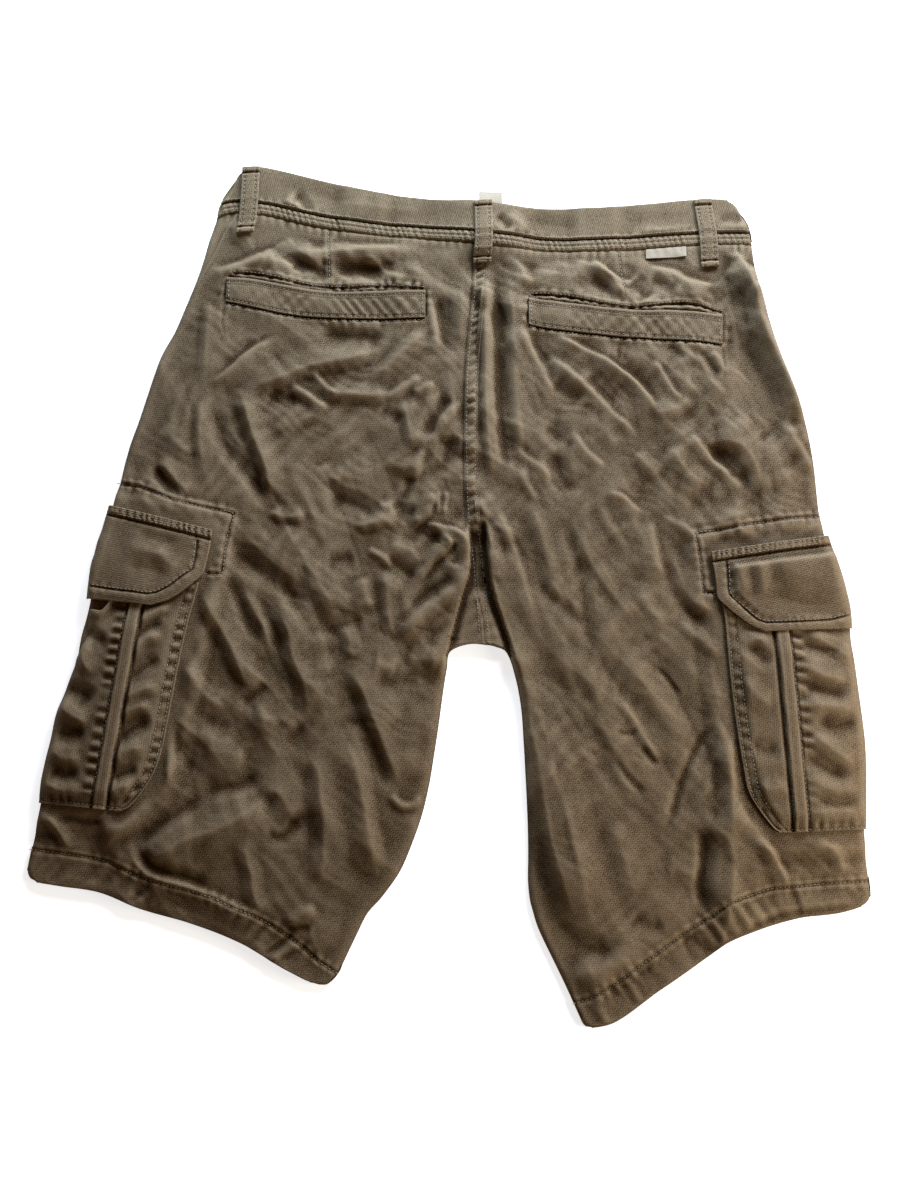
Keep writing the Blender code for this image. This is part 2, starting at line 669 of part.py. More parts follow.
# --- Panels ------------------------------------------------------------------------------------
def leg_sections(side):
    """(plan, width, inner roll, side seam's path, full path) of each leg section, waist to hem."""
    for index, row in enumerate(LEFT_ROWS if side < 0 else RIGHT_ROWS):
        inner_roll = mix(CROTCH_ROLL, ROLL, ease((index - SEAT_ROWS) / 3.0))
        if index < SEAT_ROWS:
            inner_roll = 0.0
        width = math.hypot(row[2] - row[0], row[3] - row[1])
        turn = curve(SIDE_SEAM_TURN, row[1]) if side < 0 else 0.0
        yield row_plan(side, row), width, inner_roll, turn, path_length(width, ROLL, inner_roll)


def back_paths(side, turn, full, inner_roll):
    """Lengths along a back section: close together by its edges and even between them."""
    start = turn + SEAM_GAP / 2 if turn else ON_EDGE
    end = full - (ON_EDGE if inner_roll else SEAM_GAP / 2)
    near = [start + step for step in EDGE_STEPS]
    far = [end - step for step in EDGE_STEPS]
    between = [mix(near[-1], far[-1], k / BACK_CELLS) for k in range(1, BACK_CELLS)]
    return near + between + far[::-1]


def front_paths(side, turn, full, inner_roll):
    """Lengths along a front section, negative beneath: from the side seam to the inner edge."""
    start = turn - SEAM_GAP / 2 if turn else -ON_EDGE
    end = -full + (ON_EDGE if inner_roll else SEAM_GAP / 2)
    near = [mix(start, -EDGE_STEPS[-1], k / 4) for k in range(5)]
    between = [-share * full for share in FRONT_SHARES[side]]
    return near + between + [end + EDGE_STEPS[2], end]


def make_panel(side, name, paths_of, material):
    """A leg panel, back or front, as its paths say."""
    hem_first = len(LEFT_ROWS) - HEM_ROWS
    outer, inner = [], []
    for index, (plan, width, inner_roll, turn, full) in enumerate(leg_sections(side)):
        def hemmed(x, y, rise=HEM_RISE if index >= hem_first else 0.0):
            return back_height(x, y) + rise

        paths = paths_of(side, turn, full, inner_roll)
        outer.append([skin_point(plan, width, path, 0.0, hemmed, inner_roll) for path in paths])
        inner.append([skin_point(plan, width, path, -CLOTH, back_height, inner_roll) for path in paths])
    for grid in (outer, inner):
        grid[0] = [(x, y - SEAM_GAP / 2, z) for x, y, z in grid[0]]
    wall(name, outer, inner, material)


# --- Waistband ---------------------------------------------------------------------------------
def band_plan(share_up):
    """A function from the share across the back to a point of the band in plan, at a share of its depth."""
    left = curve(BAND_LEFT_END, share_up)
    right = curve(BAND_RIGHT_END, share_up)

    def plan(share):
        x = mix(left, right, share)
        return x, mix(curve(WAIST_SEAM, x) + SEAM_GAP / 2, curve(WAIST_TOP, x), share_up)

    return plan, right - left


def band_point(plan, width, from_left, out, upper, groove, end_layer=0.0):
    """A point of the band at a length from its left end, over the top or beneath."""
    full = path_length(width, ROLL, ROLL)
    near, roll = edge_distance(from_left, ROLL, out)
    distance = near
    if from_left > full / 2.0:
        far, roll = edge_distance(full - from_left, ROLL, out)
        distance = width - far
    x, y = plan(distance / width)
    middle = BAND_SEAM_Z + lift(x, y)
    if upper:
        return x, y, middle + (band_height(x, y) - groove + out - middle) * roll
    bottom = lift(x, y) + end_layer * ease((FRONT_LAP + 26.0 - (x - CENTRE_X)) / 18.0) - out
    return x, y, middle - (middle - bottom) * roll


def make_waistband(material):
    """One doubled band: from its right end at the centre front, round the back, to its left end."""
    sections = [list(leg_sections(side))[0] for side in (-1, 1)]
    (_, left_width, _, turn, left_full), (_, right_width, _, _, right_full) = sections
    left_back = back_paths(-1, turn, left_full, 0.0)
    left_front = front_paths(-1, turn, left_full, 0.0)
    right_back = back_paths(1, 0.0, right_full, 0.0)
    right_front = front_paths(1, 0.0, right_full, 0.0)
    full = path_length(left_width + right_width, ROLL, ROLL)
    top_left = [0.0] + sorted(p for p in left_front if p > 1.0) + left_back
    top = top_left + [full - p for p in reversed(right_back)]
    under_left = sorted(-p for p in left_front if p < -1.0)
    under_right = [full + p for p in reversed(right_front) if p < -1.0]
    middle = left_full
    right_end = [middle - FRONT_LAP, middle - FRONT_LAP / 2] + sorted(under_right)
    left_end = under_left + [middle + FRONT_LAP / 2, middle + FRONT_LAP]
    outer, inner = [], []
    for share_up, groove in BAND_ROWS:
        plan, width = band_plan(share_up)
        scale = path_length(width, ROLL, ROLL) / full
        rows = ([], [])
        for row, out in zip(rows, (0.0, -BAND_WALL)):
            depth = groove if out == 0.0 else 0.0
            row += [band_point(plan, width, p * scale, out, False, 0.0, LAP_LIFT) for p in right_end]
            row += [band_point(plan, width, p * scale, out, True, depth) for p in reversed(top)]
            row += [band_point(plan, width, p * scale, out, False, 0.0) for p in left_end]
        outer.append(rows[0])
        inner.append(rows[1])
    wall("waistband", outer, inner, material)


# --- What is sewn on ---------------------------------------------------------------------------
def patch_sections(side, table):
    """(plan, width) of each section of a piece that wraps the side edge."""
    edge = side_edge(side)
    for side_y, inner_x, inner_y in table:
        side_x = next(x for y, x in edge if y == side_y)

        def plan(share, ends=(side_x, side_y, inner_x, inner_y)):
            return mix(ends[0], ends[2], share), mix(ends[1], ends[3], share)

        yield plan, math.hypot(inner_x - side_x, inner_y - side_y)


def make_wrap(side, name, table, stops, top_inner, top_outer, under, material):
    """A wall from a piece's inner edge over the back, round the side edge and to its inner edge beneath.

    The stops are shares of each section, from its inner edge, at which it has points.
    """
    outer, inner = [], []
    for plan, width in patch_sections(side, table):
        full = path_length(width, ROLL)
        last = full - EDGE_STEPS[-1]
        over = [full - stop * last for stop in stops(side, plan, width)] + list(EDGE_STEPS[::-1][:-1])
        below = [-p for p in EDGE_STEPS[1:]] + [-mix(EDGE_STEPS[-1], full, k / 3) for k in (1, 2)]
        over = [max(p, ON_EDGE) for p in over + [0.0]]
        inner.append([skin_point(plan, width, p, under, top_inner) for p in over + below])
        outer.append([skin_point(plan, width, p, under + TRIM, top_outer) for p in over + below])
    wall(name, outer, inner, material)


def pocket_stops(side, plan, width):
    """Shares at which a pocket's section has points: its stitched edge, its pleat's two edges and between."""
    pleat = LEFT_PLEAT if side < 0 else RIGHT_PLEAT
    inner_x, inner_y = plan(1.0)
    reach = path_length(width, ROLL) - EDGE_STEPS[-1]
    pleat_in = abs(line_x(pleat, inner_y + 4.0) - inner_x) * 1.02
    pleat_in = min(max(pleat_in, 8.0), reach - PLEAT_WIDTH - 6.0)
    marks = (0.0, 3.0, pleat_in * 0.55, pleat_in - 1.2, pleat_in + 0.2, pleat_in + PLEAT_WIDTH - 0.2,
             pleat_in + PLEAT_WIDTH + 1.2, mix(pleat_in + PLEAT_WIDTH, reach, 0.55), reach)
    return [mark / reach for mark in marks]


def flap_stops(side, plan, width):
    return (0.0, 0.12, 0.4, 0.7, 1.0)


def make_cargo_pocket(side, material):
    def puffed(x, y):
        return back_height(x, y) + pocket_puff(side, x, y)

    def raised(x, y):
        return puffed(x, y) + pocket_relief(side, x, y)

    name = "cargo_pocket_left" if side < 0 else "cargo_pocket_right"
    table = LEFT_POCKET if side < 0 else RIGHT_POCKET
    make_wrap(side, name, table, pocket_stops, puffed, raised, LAY_GAP, material)


def make_cargo_flap(side, material):
    table = LEFT_FLAP if side < 0 else RIGHT_FLAP

    def resting(x, y):
        return back_height(x, y) + pocket_puff(side, x, y)

    def banded(x, y):
        slope = (table[0][2] - table[0][0]) / (table[0][1] - curve(side_edge(side), table[0][0]))
        top = table[0][2] + slope * (x - table[0][1])
        return resting(x, y) + BAND_RISE * ease((y - top + 11.0) / 2.0)

    name = "cargo_flap_left" if side < 0 else "cargo_flap_right"
    make_wrap(side, name, table, flap_stops, resting, banded, POCKET_LIFT + LAY_GAP, material)


def make_welt(name, table, material):
    """The single welt of a back pocket: a folded strip with a slit above it."""
    outer, inner = [], []
    for x, top, bottom in table:
        ys = [mix(bottom, top, share) for share in (0.0, 0.12, 0.5, 0.88, 1.0)]
        rises = (0.0, 0.35, 0.35, 0.5, 0.5)
        inner.append([(x, y, back_height(x, y) + LAY_GAP) for y in ys])
        outer.append([(x, y, z + TRIM + rise) for (x, y, z), rise in zip(inner[-1], rises)])
    wall(name, outer, inner, material)


def top_surface(x, y):
    """The upper face of the band or, below its seam, the higher of the panel and the band's edge."""
    seam = curve(WAIST_SEAM, x)
    if y > seam:
        return band_height(x, y)
    near = ease((y - seam + 9.0) / 4.0)
    return max(back_height(x, y), mix(back_height(x, y), band_height(x, seam + 0.5), near))


def make_back_loop(name, foot_x, foot_y, head_x, head_y, material):
    """A belt loop: tacked on the panel, over the band and tacked at the band's top."""
    outer, inner = [], []
    for share in (0.0, 0.07, 0.14, 0.22, 0.3, 0.5, 0.7, 0.86, 0.93, 1.0):
        centre_x, y = mix(foot_x, head_x, share), mix(foot_y, head_y, share)
        bar = LOOP_BAR * (1.0 - ease((min(share, 1.0 - share) - 0.06) / 0.05))
        off = LAY_GAP + LOOP_SLACK * math.sin(math.pi * share) ** 2
        across = [centre_x + LOOP_WIDTH * side for side in (-0.5, 0.0, 0.5)]
        resting = max(top_surface(x, y) for x in across)
        inner.append([(x, y, resting + off) for x in across])
        outer.append([(x, y, resting + off + TRIM + bar) for x in across])
    wall(name, outer, inner, material)


def make_slab(name, x, y, size_x, size_y, bottom, thick, material):
    """A flat piece with rounded corners, its lower face at the given height."""
    bpy.ops.mesh.primitive_cube_add(size=1.0, location=(x * MM, y * MM, (bottom + thick / 2) * MM))
    slab = bpy.context.object
    slab.name = name
    slab.scale = (size_x * MM, size_y * MM, thick * MM)
    bpy.ops.object.transform_apply(location=False, rotation=False, scale=True)
    rounded = slab.modifiers.new("rounded corners", "BEVEL")
    rounded.width = thick * 0.25 * MM
    rounded.segments = 2
    rounded.limit_method = "ANGLE"
    return finished(slab, material)


def make_button(material):
    bpy.ops.mesh.primitive_cylinder_add(
        vertices=18, radius=BUTTON_RADIUS * MM, depth=BUTTON_THICK * MM,
        location=(BUTTON_AT[0] * MM, BUTTON_AT[1] * MM, BUTTON_THICK / 2 * MM),
    )
    button = bpy.context.object
    button.name = "waist_button"
    rounded = button.modifiers.new("rounded rim", "BEVEL")
    rounded.width = 0.5 * MM
    rounded.segments = 2
    rounded.limit_method = "ANGLE"
    return finished(button, material)


def make_label(name, corners, base, thick, material):
    """A small flat label between four corners, lying on what is beneath it."""
    (x0, y0), (x1, y1), (x2, y2), (x3, y3) = corners
    inner = []
    for up in (0.0, 0.5, 1.0):
        left = (mix(x3, x0, up), mix(y3, y0, up))
        right = (mix(x2, x1, up), mix(y2, y1, up))
        row = [(mix(left[0], right[0], k / 4), mix(left[1], right[1], k / 4)) for k in range(5)]
        inner.append([(x, y, base(x, y)) for x, y in row])
    outer = [[(x, y, z + thick) for x, y, z in row] for row in inner]
    wall(name, outer, inner, material)


def clear_scene():
    for item in list(bpy.data.objects):
        bpy.data.objects.remove(item, do_unlink=True)
    garment = bpy.data.collections.new(GARMENT)
    bpy.context.scene.collection.children.link(garment)


def centre_garment():
    """Parents every piece to one empty, which brings the middle of the garment's box over the origin."""
    garment = bpy.data.collections[GARMENT]
    middle = bpy.data.objects.new("garment_middle", None)
    for piece in list(garment.objects):
        piece.parent = middle
    garment.objects.link(middle)
    middle.location = (-PLAN_CENTRE[0] * MM, -PLAN_CENTRE[1] * MM, 0.0)


def main():
    clear_scene()
    materials = {name: make_material(name) for name in COLOURS}
    for side, name in ((-1, "left"), (1, "right")):
        make_panel(side, "back_" + name, back_paths, materials["back twill"])
        make_panel(side, "front_" + name, front_paths, materials["front twill"])
        make_cargo_pocket(side, materials["pocket twill"])
        make_cargo_flap(side, materials["flap twill"])
    make_waistband(materials["band twill"])
    make_welt("welt_left", LEFT_WELT, materials["flap twill"])
    make_welt("welt_right", RIGHT_WELT, materials["flap twill"])
    for loop in BACK_LOOPS:
        make_back_loop(*loop, materials["loop twill"])
    for name, foot_x, foot_y, head_x, head_y in FRONT_LOOPS:
        middle_y = (foot_y + head_y) / 2
        make_slab(name, foot_x, middle_y, LOOP_WIDTH, head_y - foot_y, 0.0, TRIM, materials["loop twill"])
    x_from, x_to, y_from, y_to = FLY
    make_slab("fly_placket", (x_from + x_to) / 2, (y_from + y_to) / 2, x_to - x_from, y_to - y_from,
              0.0, TRIM, materials["front twill"])
    make_button(materials["horn button"])
    make_label("flag_label", FLAG_LABEL, lambda x, y: back_height(x, y) + LAY_GAP, LABEL_THICK,
               materials["white label"])
    make_label("size_tag", SIZE_TAG, lambda x, y: band_height(x, y) - BAND_WALL, LABEL_THICK,
               materials["white label"])
    centre_garment()


main()
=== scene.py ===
"""Cargo shorts laid flat with the back up: cloth, seams, stitching, labels and a small studio.

The pieces are made in millimetres in the maker's plan of the garment, where +X is to the right,
+Y runs up to the waist and +Z is up, and are then set in the frame of the part, in metres.
"""

import json
import math

import bpy
import numpy as np
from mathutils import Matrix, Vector

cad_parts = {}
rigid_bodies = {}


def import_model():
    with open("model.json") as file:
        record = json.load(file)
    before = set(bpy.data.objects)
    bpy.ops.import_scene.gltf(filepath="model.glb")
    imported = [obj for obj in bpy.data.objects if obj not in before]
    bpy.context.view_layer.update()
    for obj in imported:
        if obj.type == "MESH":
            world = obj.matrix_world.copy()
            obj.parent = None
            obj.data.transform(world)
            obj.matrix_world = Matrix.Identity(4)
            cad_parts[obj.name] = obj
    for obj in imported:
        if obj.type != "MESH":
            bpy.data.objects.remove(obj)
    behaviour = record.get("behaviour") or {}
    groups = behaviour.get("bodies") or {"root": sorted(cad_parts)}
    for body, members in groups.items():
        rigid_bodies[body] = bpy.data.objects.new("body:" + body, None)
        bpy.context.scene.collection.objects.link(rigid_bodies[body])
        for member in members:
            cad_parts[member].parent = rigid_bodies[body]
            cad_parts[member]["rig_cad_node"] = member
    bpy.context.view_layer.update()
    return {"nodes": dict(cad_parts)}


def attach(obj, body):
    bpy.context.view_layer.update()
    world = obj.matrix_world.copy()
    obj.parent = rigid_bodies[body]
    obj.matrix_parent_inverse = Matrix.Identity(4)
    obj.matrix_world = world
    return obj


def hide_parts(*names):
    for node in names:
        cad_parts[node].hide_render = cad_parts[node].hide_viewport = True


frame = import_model()

bl_info = {
    "name": "Cargo shorts, laid flat",
    "version": (1, 0, 0),
    "blender": (4, 5, 0),
    "location": "View3D > Sidebar > Shorts",
    "description": "Makes the cloth, the sewing and the studio of a pair of cargo shorts",
    "category": "Object",
}

MM = 0.001
TO_FRAME = (0.25, -0.65)  # from the middle of the plan to the middle of the part, mm
BODY = "root"
SIDES = ((-1, "left"), (1, "right"))
UP = np.array([0.0, 0.0, 1.0])

# --- Sizes of the garment, mm ---------------------------------------------------------------------
CLOTH = 1.4  # thickness of a leg panel
TRIM = 1.2  # thickness of a pocket, flap, welt, loop or label
BAND_WALL = 2.4  # thickness of the doubled band
LAY_GAP = 0.45  # between a small piece and what it lies on
LAYER_GAP = 0.8  # between the front layer and the back one
ROLL = 6.0  # how wide the rounding of a side edge is, seen from above
CROTCH_ROLL = 2.0  # the same at the crotch
SEAT_LAP = 10.0  # width of the felled lap of the seat seam
SEAT_RISE = 0.9  # and its height
LOOP_WIDTH = 13.5
LOOP_SEAM = 4.6  # from a loop's middle to its stitches
PLEAT_WIDTH = 10.0
BACK_TOP = CLOTH + LAYER_GAP + CLOTH
SIDE_SEAM_Z = BACK_TOP / 2
BAND_TOP = BAND_WALL + LAYER_GAP + BAND_WALL
BAND_SEAM_Z = BAND_TOP / 2
POCKET_LIFT = LAY_GAP + TRIM
LAP_LIFT = BAND_WALL + LAY_GAP
FRONT_LAP = 20.0  # half the overlap of the band's ends at the front
LAP_X = 31.5  # where the middle of that overlap lies
SEAT_ROWS = 19  # how many of the legs' rows belong to the seat, above the crotch

# --- The legs' sections: where each meets the side edge and where it ends inside ------------------
LEFT_ROWS = (
    # side_x, side_y, inner_x, inner_y
    (-193.0, 303.5, 31.5, 278.5), (-199.0, 285.0, 31.0, 257.0), (-204.0, 265.5, 29.8, 235.0),
    (-210.5, 245.0, 27.5, 212.0), (-217.5, 225.5, 25.3, 189.0), (-225.0, 206.0, 23.9, 166.0),
    (-235.0, 186.5, 23.2, 143.0), (-241.5, 167.0, 23.0, 120.0), (-247.0, 148.0, 23.0, 97.0),
    (-252.5, 129.0, 23.4, 75.0), (-258.0, 112.0, 24.3, 55.0), (-262.0, 96.0, 25.9, 36.0),
    (-265.0, 80.5, 28.0, 18.0), (-268.0, 68.0, 29.3, 4.0), (-270.0, 58.0, 30.2, -7.0),
    (-272.0, 50.0, 30.9, -16.0), (-275.0, 38.0, 31.9, -31.0), (-278.0, 28.5, 32.7, -43.0),
    (-280.0, 19.0, 33.5, -53.0), (-282.0, 12.0, 16.0, -52.0), (-283.0, 5.0, 1.0, -58.0),
    (-284.0, -7.0, -1.5, -71.0), (-284.6, -16.0, -3.2, -81.0), (-287.0, -30.0, -5.5, -97.0),
    (-291.0, -47.0, -8.0, -116.0), (-294.0, -68.0, -11.5, -139.0), (-300.0, -90.0, -15.5, -163.0),
    (-306.5, -108.0, -21.0, -186.0), (-310.0, -128.0, -29.5, -210.0),
    (-313.0, -142.0, -38.0, -229.0), (-316.0, -159.0, -51.5, -248.0),
    (-316.8, -170.0, -60.0, -258.0), (-317.0, -176.0, -64.0, -264.0),
    (-319.5, -192.0, -71.5, -281.0), (-323.0, -211.0, -82.0, -303.0),
    (-323.6, -214.0, -83.2, -306.0), (-327.5, -235.5, -93.0, -318.0),
)
RIGHT_ROWS = (
    # side_x, side_y, inner_x, inner_y
    (252.0, 280.5, 31.5, 278.5), (254.2, 261.0, 31.0, 257.0), (258.5, 241.0, 29.8, 235.0),
    (263.5, 220.0, 27.5, 212.0), (268.5, 200.5, 25.3, 189.0), (274.5, 181.0, 23.9, 166.0),
    (281.5, 161.5, 23.2, 143.0), (287.5, 142.0, 23.0, 120.0), (291.8, 123.0, 23.0, 97.0),
    (294.8, 104.0, 23.4, 75.0), (296.5, 87.0, 24.3, 55.0), (297.5, 70.5, 25.9, 36.0),
    (298.5, 55.0, 28.0, 18.0), (299.8, 43.0, 29.3, 4.0), (301.5, 33.5, 30.2, -7.0),
    (303.6, 26.0, 30.9, -16.0), (307.5, 13.5, 31.9, -31.0), (310.3, 4.0, 32.7, -43.0),
    (312.6, -5.0, 33.5, -53.0), (314.0, -12.0, 38.0, -54.5), (315.3, -18.0, 44.5, -57.0),
    (316.5, -27.0, 49.0, -65.0), (316.8, -39.5, 52.5, -77.0), (317.0, -50.0, 55.0, -88.0),
    (319.0, -66.0, 57.5, -105.0), (321.0, -87.0, 59.0, -129.0), (323.0, -108.0, 60.2, -154.0),
    (324.5, -128.0, 61.2, -178.0), (324.6, -146.0, 61.8, -200.0), (324.0, -162.0, 61.8, -219.0),
    (323.4, -176.0, 61.5, -235.0), (322.8, -190.0, 62.5, -250.0), (322.4, -196.0, 63.8, -258.0),
    (323.0, -212.0, 70.5, -282.0), (325.0, -234.0, 93.0, -326.0), (325.3, -237.0, 94.5, -329.0),
    (327.0, -253.0, 104.0, -346.5),
)
WAIST_SEAM = (
    (-193.0, 303.5), (-185.0, 307.0), (-173.0, 308.0), (-160.0, 307.0), (-145.0, 304.5),
    (-130.0, 300.5), (-100.0, 294.0), (-60.0, 288.0), (-20.0, 284.5), (27.0, 278.5),
    (60.0, 275.5), (100.0, 274.0), (140.0, 275.0), (200.0, 279.5), (225.0, 280.5), (252.0, 280.5),
)
WAIST_TOP = (
    (-181.0, 333.0), (-176.0, 342.5), (-170.0, 346.0), (-160.0, 348.0), (-140.0, 344.0),
    (-100.0, 334.0), (-60.0, 325.0), (0.0, 317.0), (27.0, 315.5), (60.0, 311.5), (120.0, 311.5),
    (160.0, 314.5), (200.0, 319.0), (225.0, 320.0), (238.0, 318.0), (245.0, 310.0),
)
LEFT_HEM = (
    (-327.5, -235.5), (-300.0, -239.5), (-270.0, -244.0), (-235.0, -257.0), (-200.0, -266.5),
    (-160.0, -282.0), (-125.0, -302.0), (-93.0, -318.0),
)
RIGHT_HEM = (
    (327.0, -253.0), (300.0, -260.0), (270.0, -263.5), (235.0, -273.0), (214.0, -281.0),
    (200.0, -291.0), (160.0, -318.0), (128.0, -340.0), (104.0, -346.5),
)
LEGS = {-1: LEFT_ROWS, 1: RIGHT_ROWS}  # the left one's side is -1, the right one's is 1
HEMS = {-1: LEFT_HEM, 1: RIGHT_HEM}
HEM_CORNERS = {-1: (9.0, 12.0), 1: (9.0, 5.0)}  # radii of each hem's outer and inner corner
BAND_LEFT_END = ((0.0, -193.0), (0.35, -190.5), (0.7, -185.5), (0.9, -180.5), (1.0, -172.0))
BAND_RIGHT_END = ((0.0, 252.0), (0.4, 250.5), (0.75, 246.5), (0.92, 240.5), (1.0, 232.0))
SIDE_SEAM_TURN = ((305.0, 20.0), (285.0, 13.0), (268.0, 8.0), (255.0, 5.0), (240.0, 0.0))

# --- Pockets and flaps: sections from the side edge to the piece's inner edge ---------------------
LEFT_POCKET = (
    # side_y, inner_x, inner_y
    (12.0, -198.0, -5.0), (5.0, -199.5, -11.0), (-7.0, -201.5, -20.0), (-16.0, -203.5, -27.0),
    (-30.0, -206.5, -41.0), (-47.0, -209.5, -56.0), (-68.0, -213.0, -76.0),
    (-90.0, -216.5, -98.0), (-108.0, -219.5, -117.0), (-128.0, -223.0, -136.0),
    (-142.0, -228.0, -152.0), (-159.0, -237.0, -168.0), (-170.0, -246.0, -179.0),
    (-176.0, -253.0, -182.5),
)
RIGHT_POCKET = (
    # side_y, inner_x, inner_y
    (-5.0, 215.0, -18.0), (-12.0, 216.5, -23.0), (-18.0, 217.5, -28.0), (-27.0, 218.3, -36.0),
    (-39.5, 219.0, -48.0), (-50.0, 219.6, -59.0), (-66.0, 220.5, -73.0), (-87.0, 222.0, -92.0),
    (-108.0, 224.0, -112.0), (-128.0, 226.3, -131.0), (-146.0, 229.0, -150.0),
    (-162.0, 232.0, -167.0), (-176.0, 239.5, -181.0), (-190.0, 249.5, -194.5),
    (-196.0, 254.5, -198.5),
)
LEFT_FLAP = (
    # side_y, inner_x, inner_y
    (58.0, -188.0, 37.0), (50.0, -189.0, 30.0), (38.0, -190.5, 20.0), (28.5, -192.5, 11.0),
    (19.0, -195.0, 2.0), (12.0, -202.0, -5.0), (5.0, -210.0, -11.5), (-7.0, -221.0, -18.5),
    (-16.0, -234.0, -22.5),
)
RIGHT_FLAP = (
    # side_y, inner_x, inner_y
    (33.5, 208.5, 19.5), (26.0, 209.5, 12.5), (13.5, 211.0, 2.0), (4.0, 212.0, -8.0),
    (-5.0, 213.0, -17.0), (-12.0, 220.0, -24.5), (-18.0, 227.5, -31.0), (-27.0, 237.0, -38.0),
    (-39.5, 248.0, -43.0),
)
POCKETS = {-1: LEFT_POCKET, 1: RIGHT_POCKET}
FLAPS = {-1: LEFT_FLAP, 1: RIGHT_FLAP}
PLEATS = {-1: ((-242.0, -24.0), (-264.0, -178.0)), 1: ((257.0, -43.0), (266.0, -196.0))}

# --- Welts, loops and small things ----------------------------------------------------------------
LEFT_WELT = (
    # x, top_y, bottom_y
    (-182.0, 249.5, 230.0), (-160.0, 247.5, 225.0), (-140.0, 243.5, 220.5), (-120.0, 239.5, 217.5),
    (-100.0, 237.2, 216.0), (-80.0, 236.5, 215.3), (-60.0, 237.0, 215.0), (-40.0, 237.5, 215.0),
    (-19.5, 237.5, 215.5),
)
RIGHT_WELT = (
    # x, top_y, bottom_y
    (66.0, 231.5, 210.0), (85.0, 229.0, 206.5), (105.0, 226.5, 204.0), (125.0, 223.5, 201.8),
    (145.0, 221.5, 199.8), (165.0, 220.7, 198.5), (185.0, 220.8, 197.5), (205.0, 219.5, 196.0),
    (223.5, 217.5, 194.0),
)
WELT_TABLES = {-1: LEFT_WELT, 1: RIGHT_WELT}
BACK_LOOPS = (
    # name, foot_x, foot_y, head_x, head_y
    ("belt_loop_back_left", -168.5, 290.5, -164.0, 346.5),
    ("belt_loop_back_centre", 27.5, 263.0, 29.5, 315.0),
    ("belt_loop_back_right", 216.0, 261.5, 212.0, 318.5),
)
FRONT_LOOPS = (
    # name, x, foot_y, head_y
    ("belt_loop_front_left", -70.0, 272.0, 324.0),
    ("belt_loop_front_right", 124.0, 262.0, 310.0),
)
FLY = (-8.0, 27.0, 130.0, 274.0)  # from x to x, from y to y
FLAG_LABEL = ((163.5, 275.6), (196.5, 278.4), (196.5, 270.0), (163.5, 268.0))
SIZE_TAG = ((25.5, 326.0), (44.5, 325.5), (44.5, 314.2), (25.5, 316.2))
PADS = (
    # x, y, half_x, half_y, fade, thickness: what lies under the front layer
    (-70.0, 298.0, LOOP_WIDTH / 2 + 5.0, 30.0, 14.0, LAY_GAP + TRIM),
    (124.0, 286.0, LOOP_WIDTH / 2 + 5.0, 29.0, 14.0, LAY_GAP + TRIM),
    (9.5, 202.0, 45.0, 84.0, 22.0, LAY_GAP + TRIM),
    (32.0, 297.0, 13.0, 13.0, 22.0, LAY_GAP + 2.0),
)

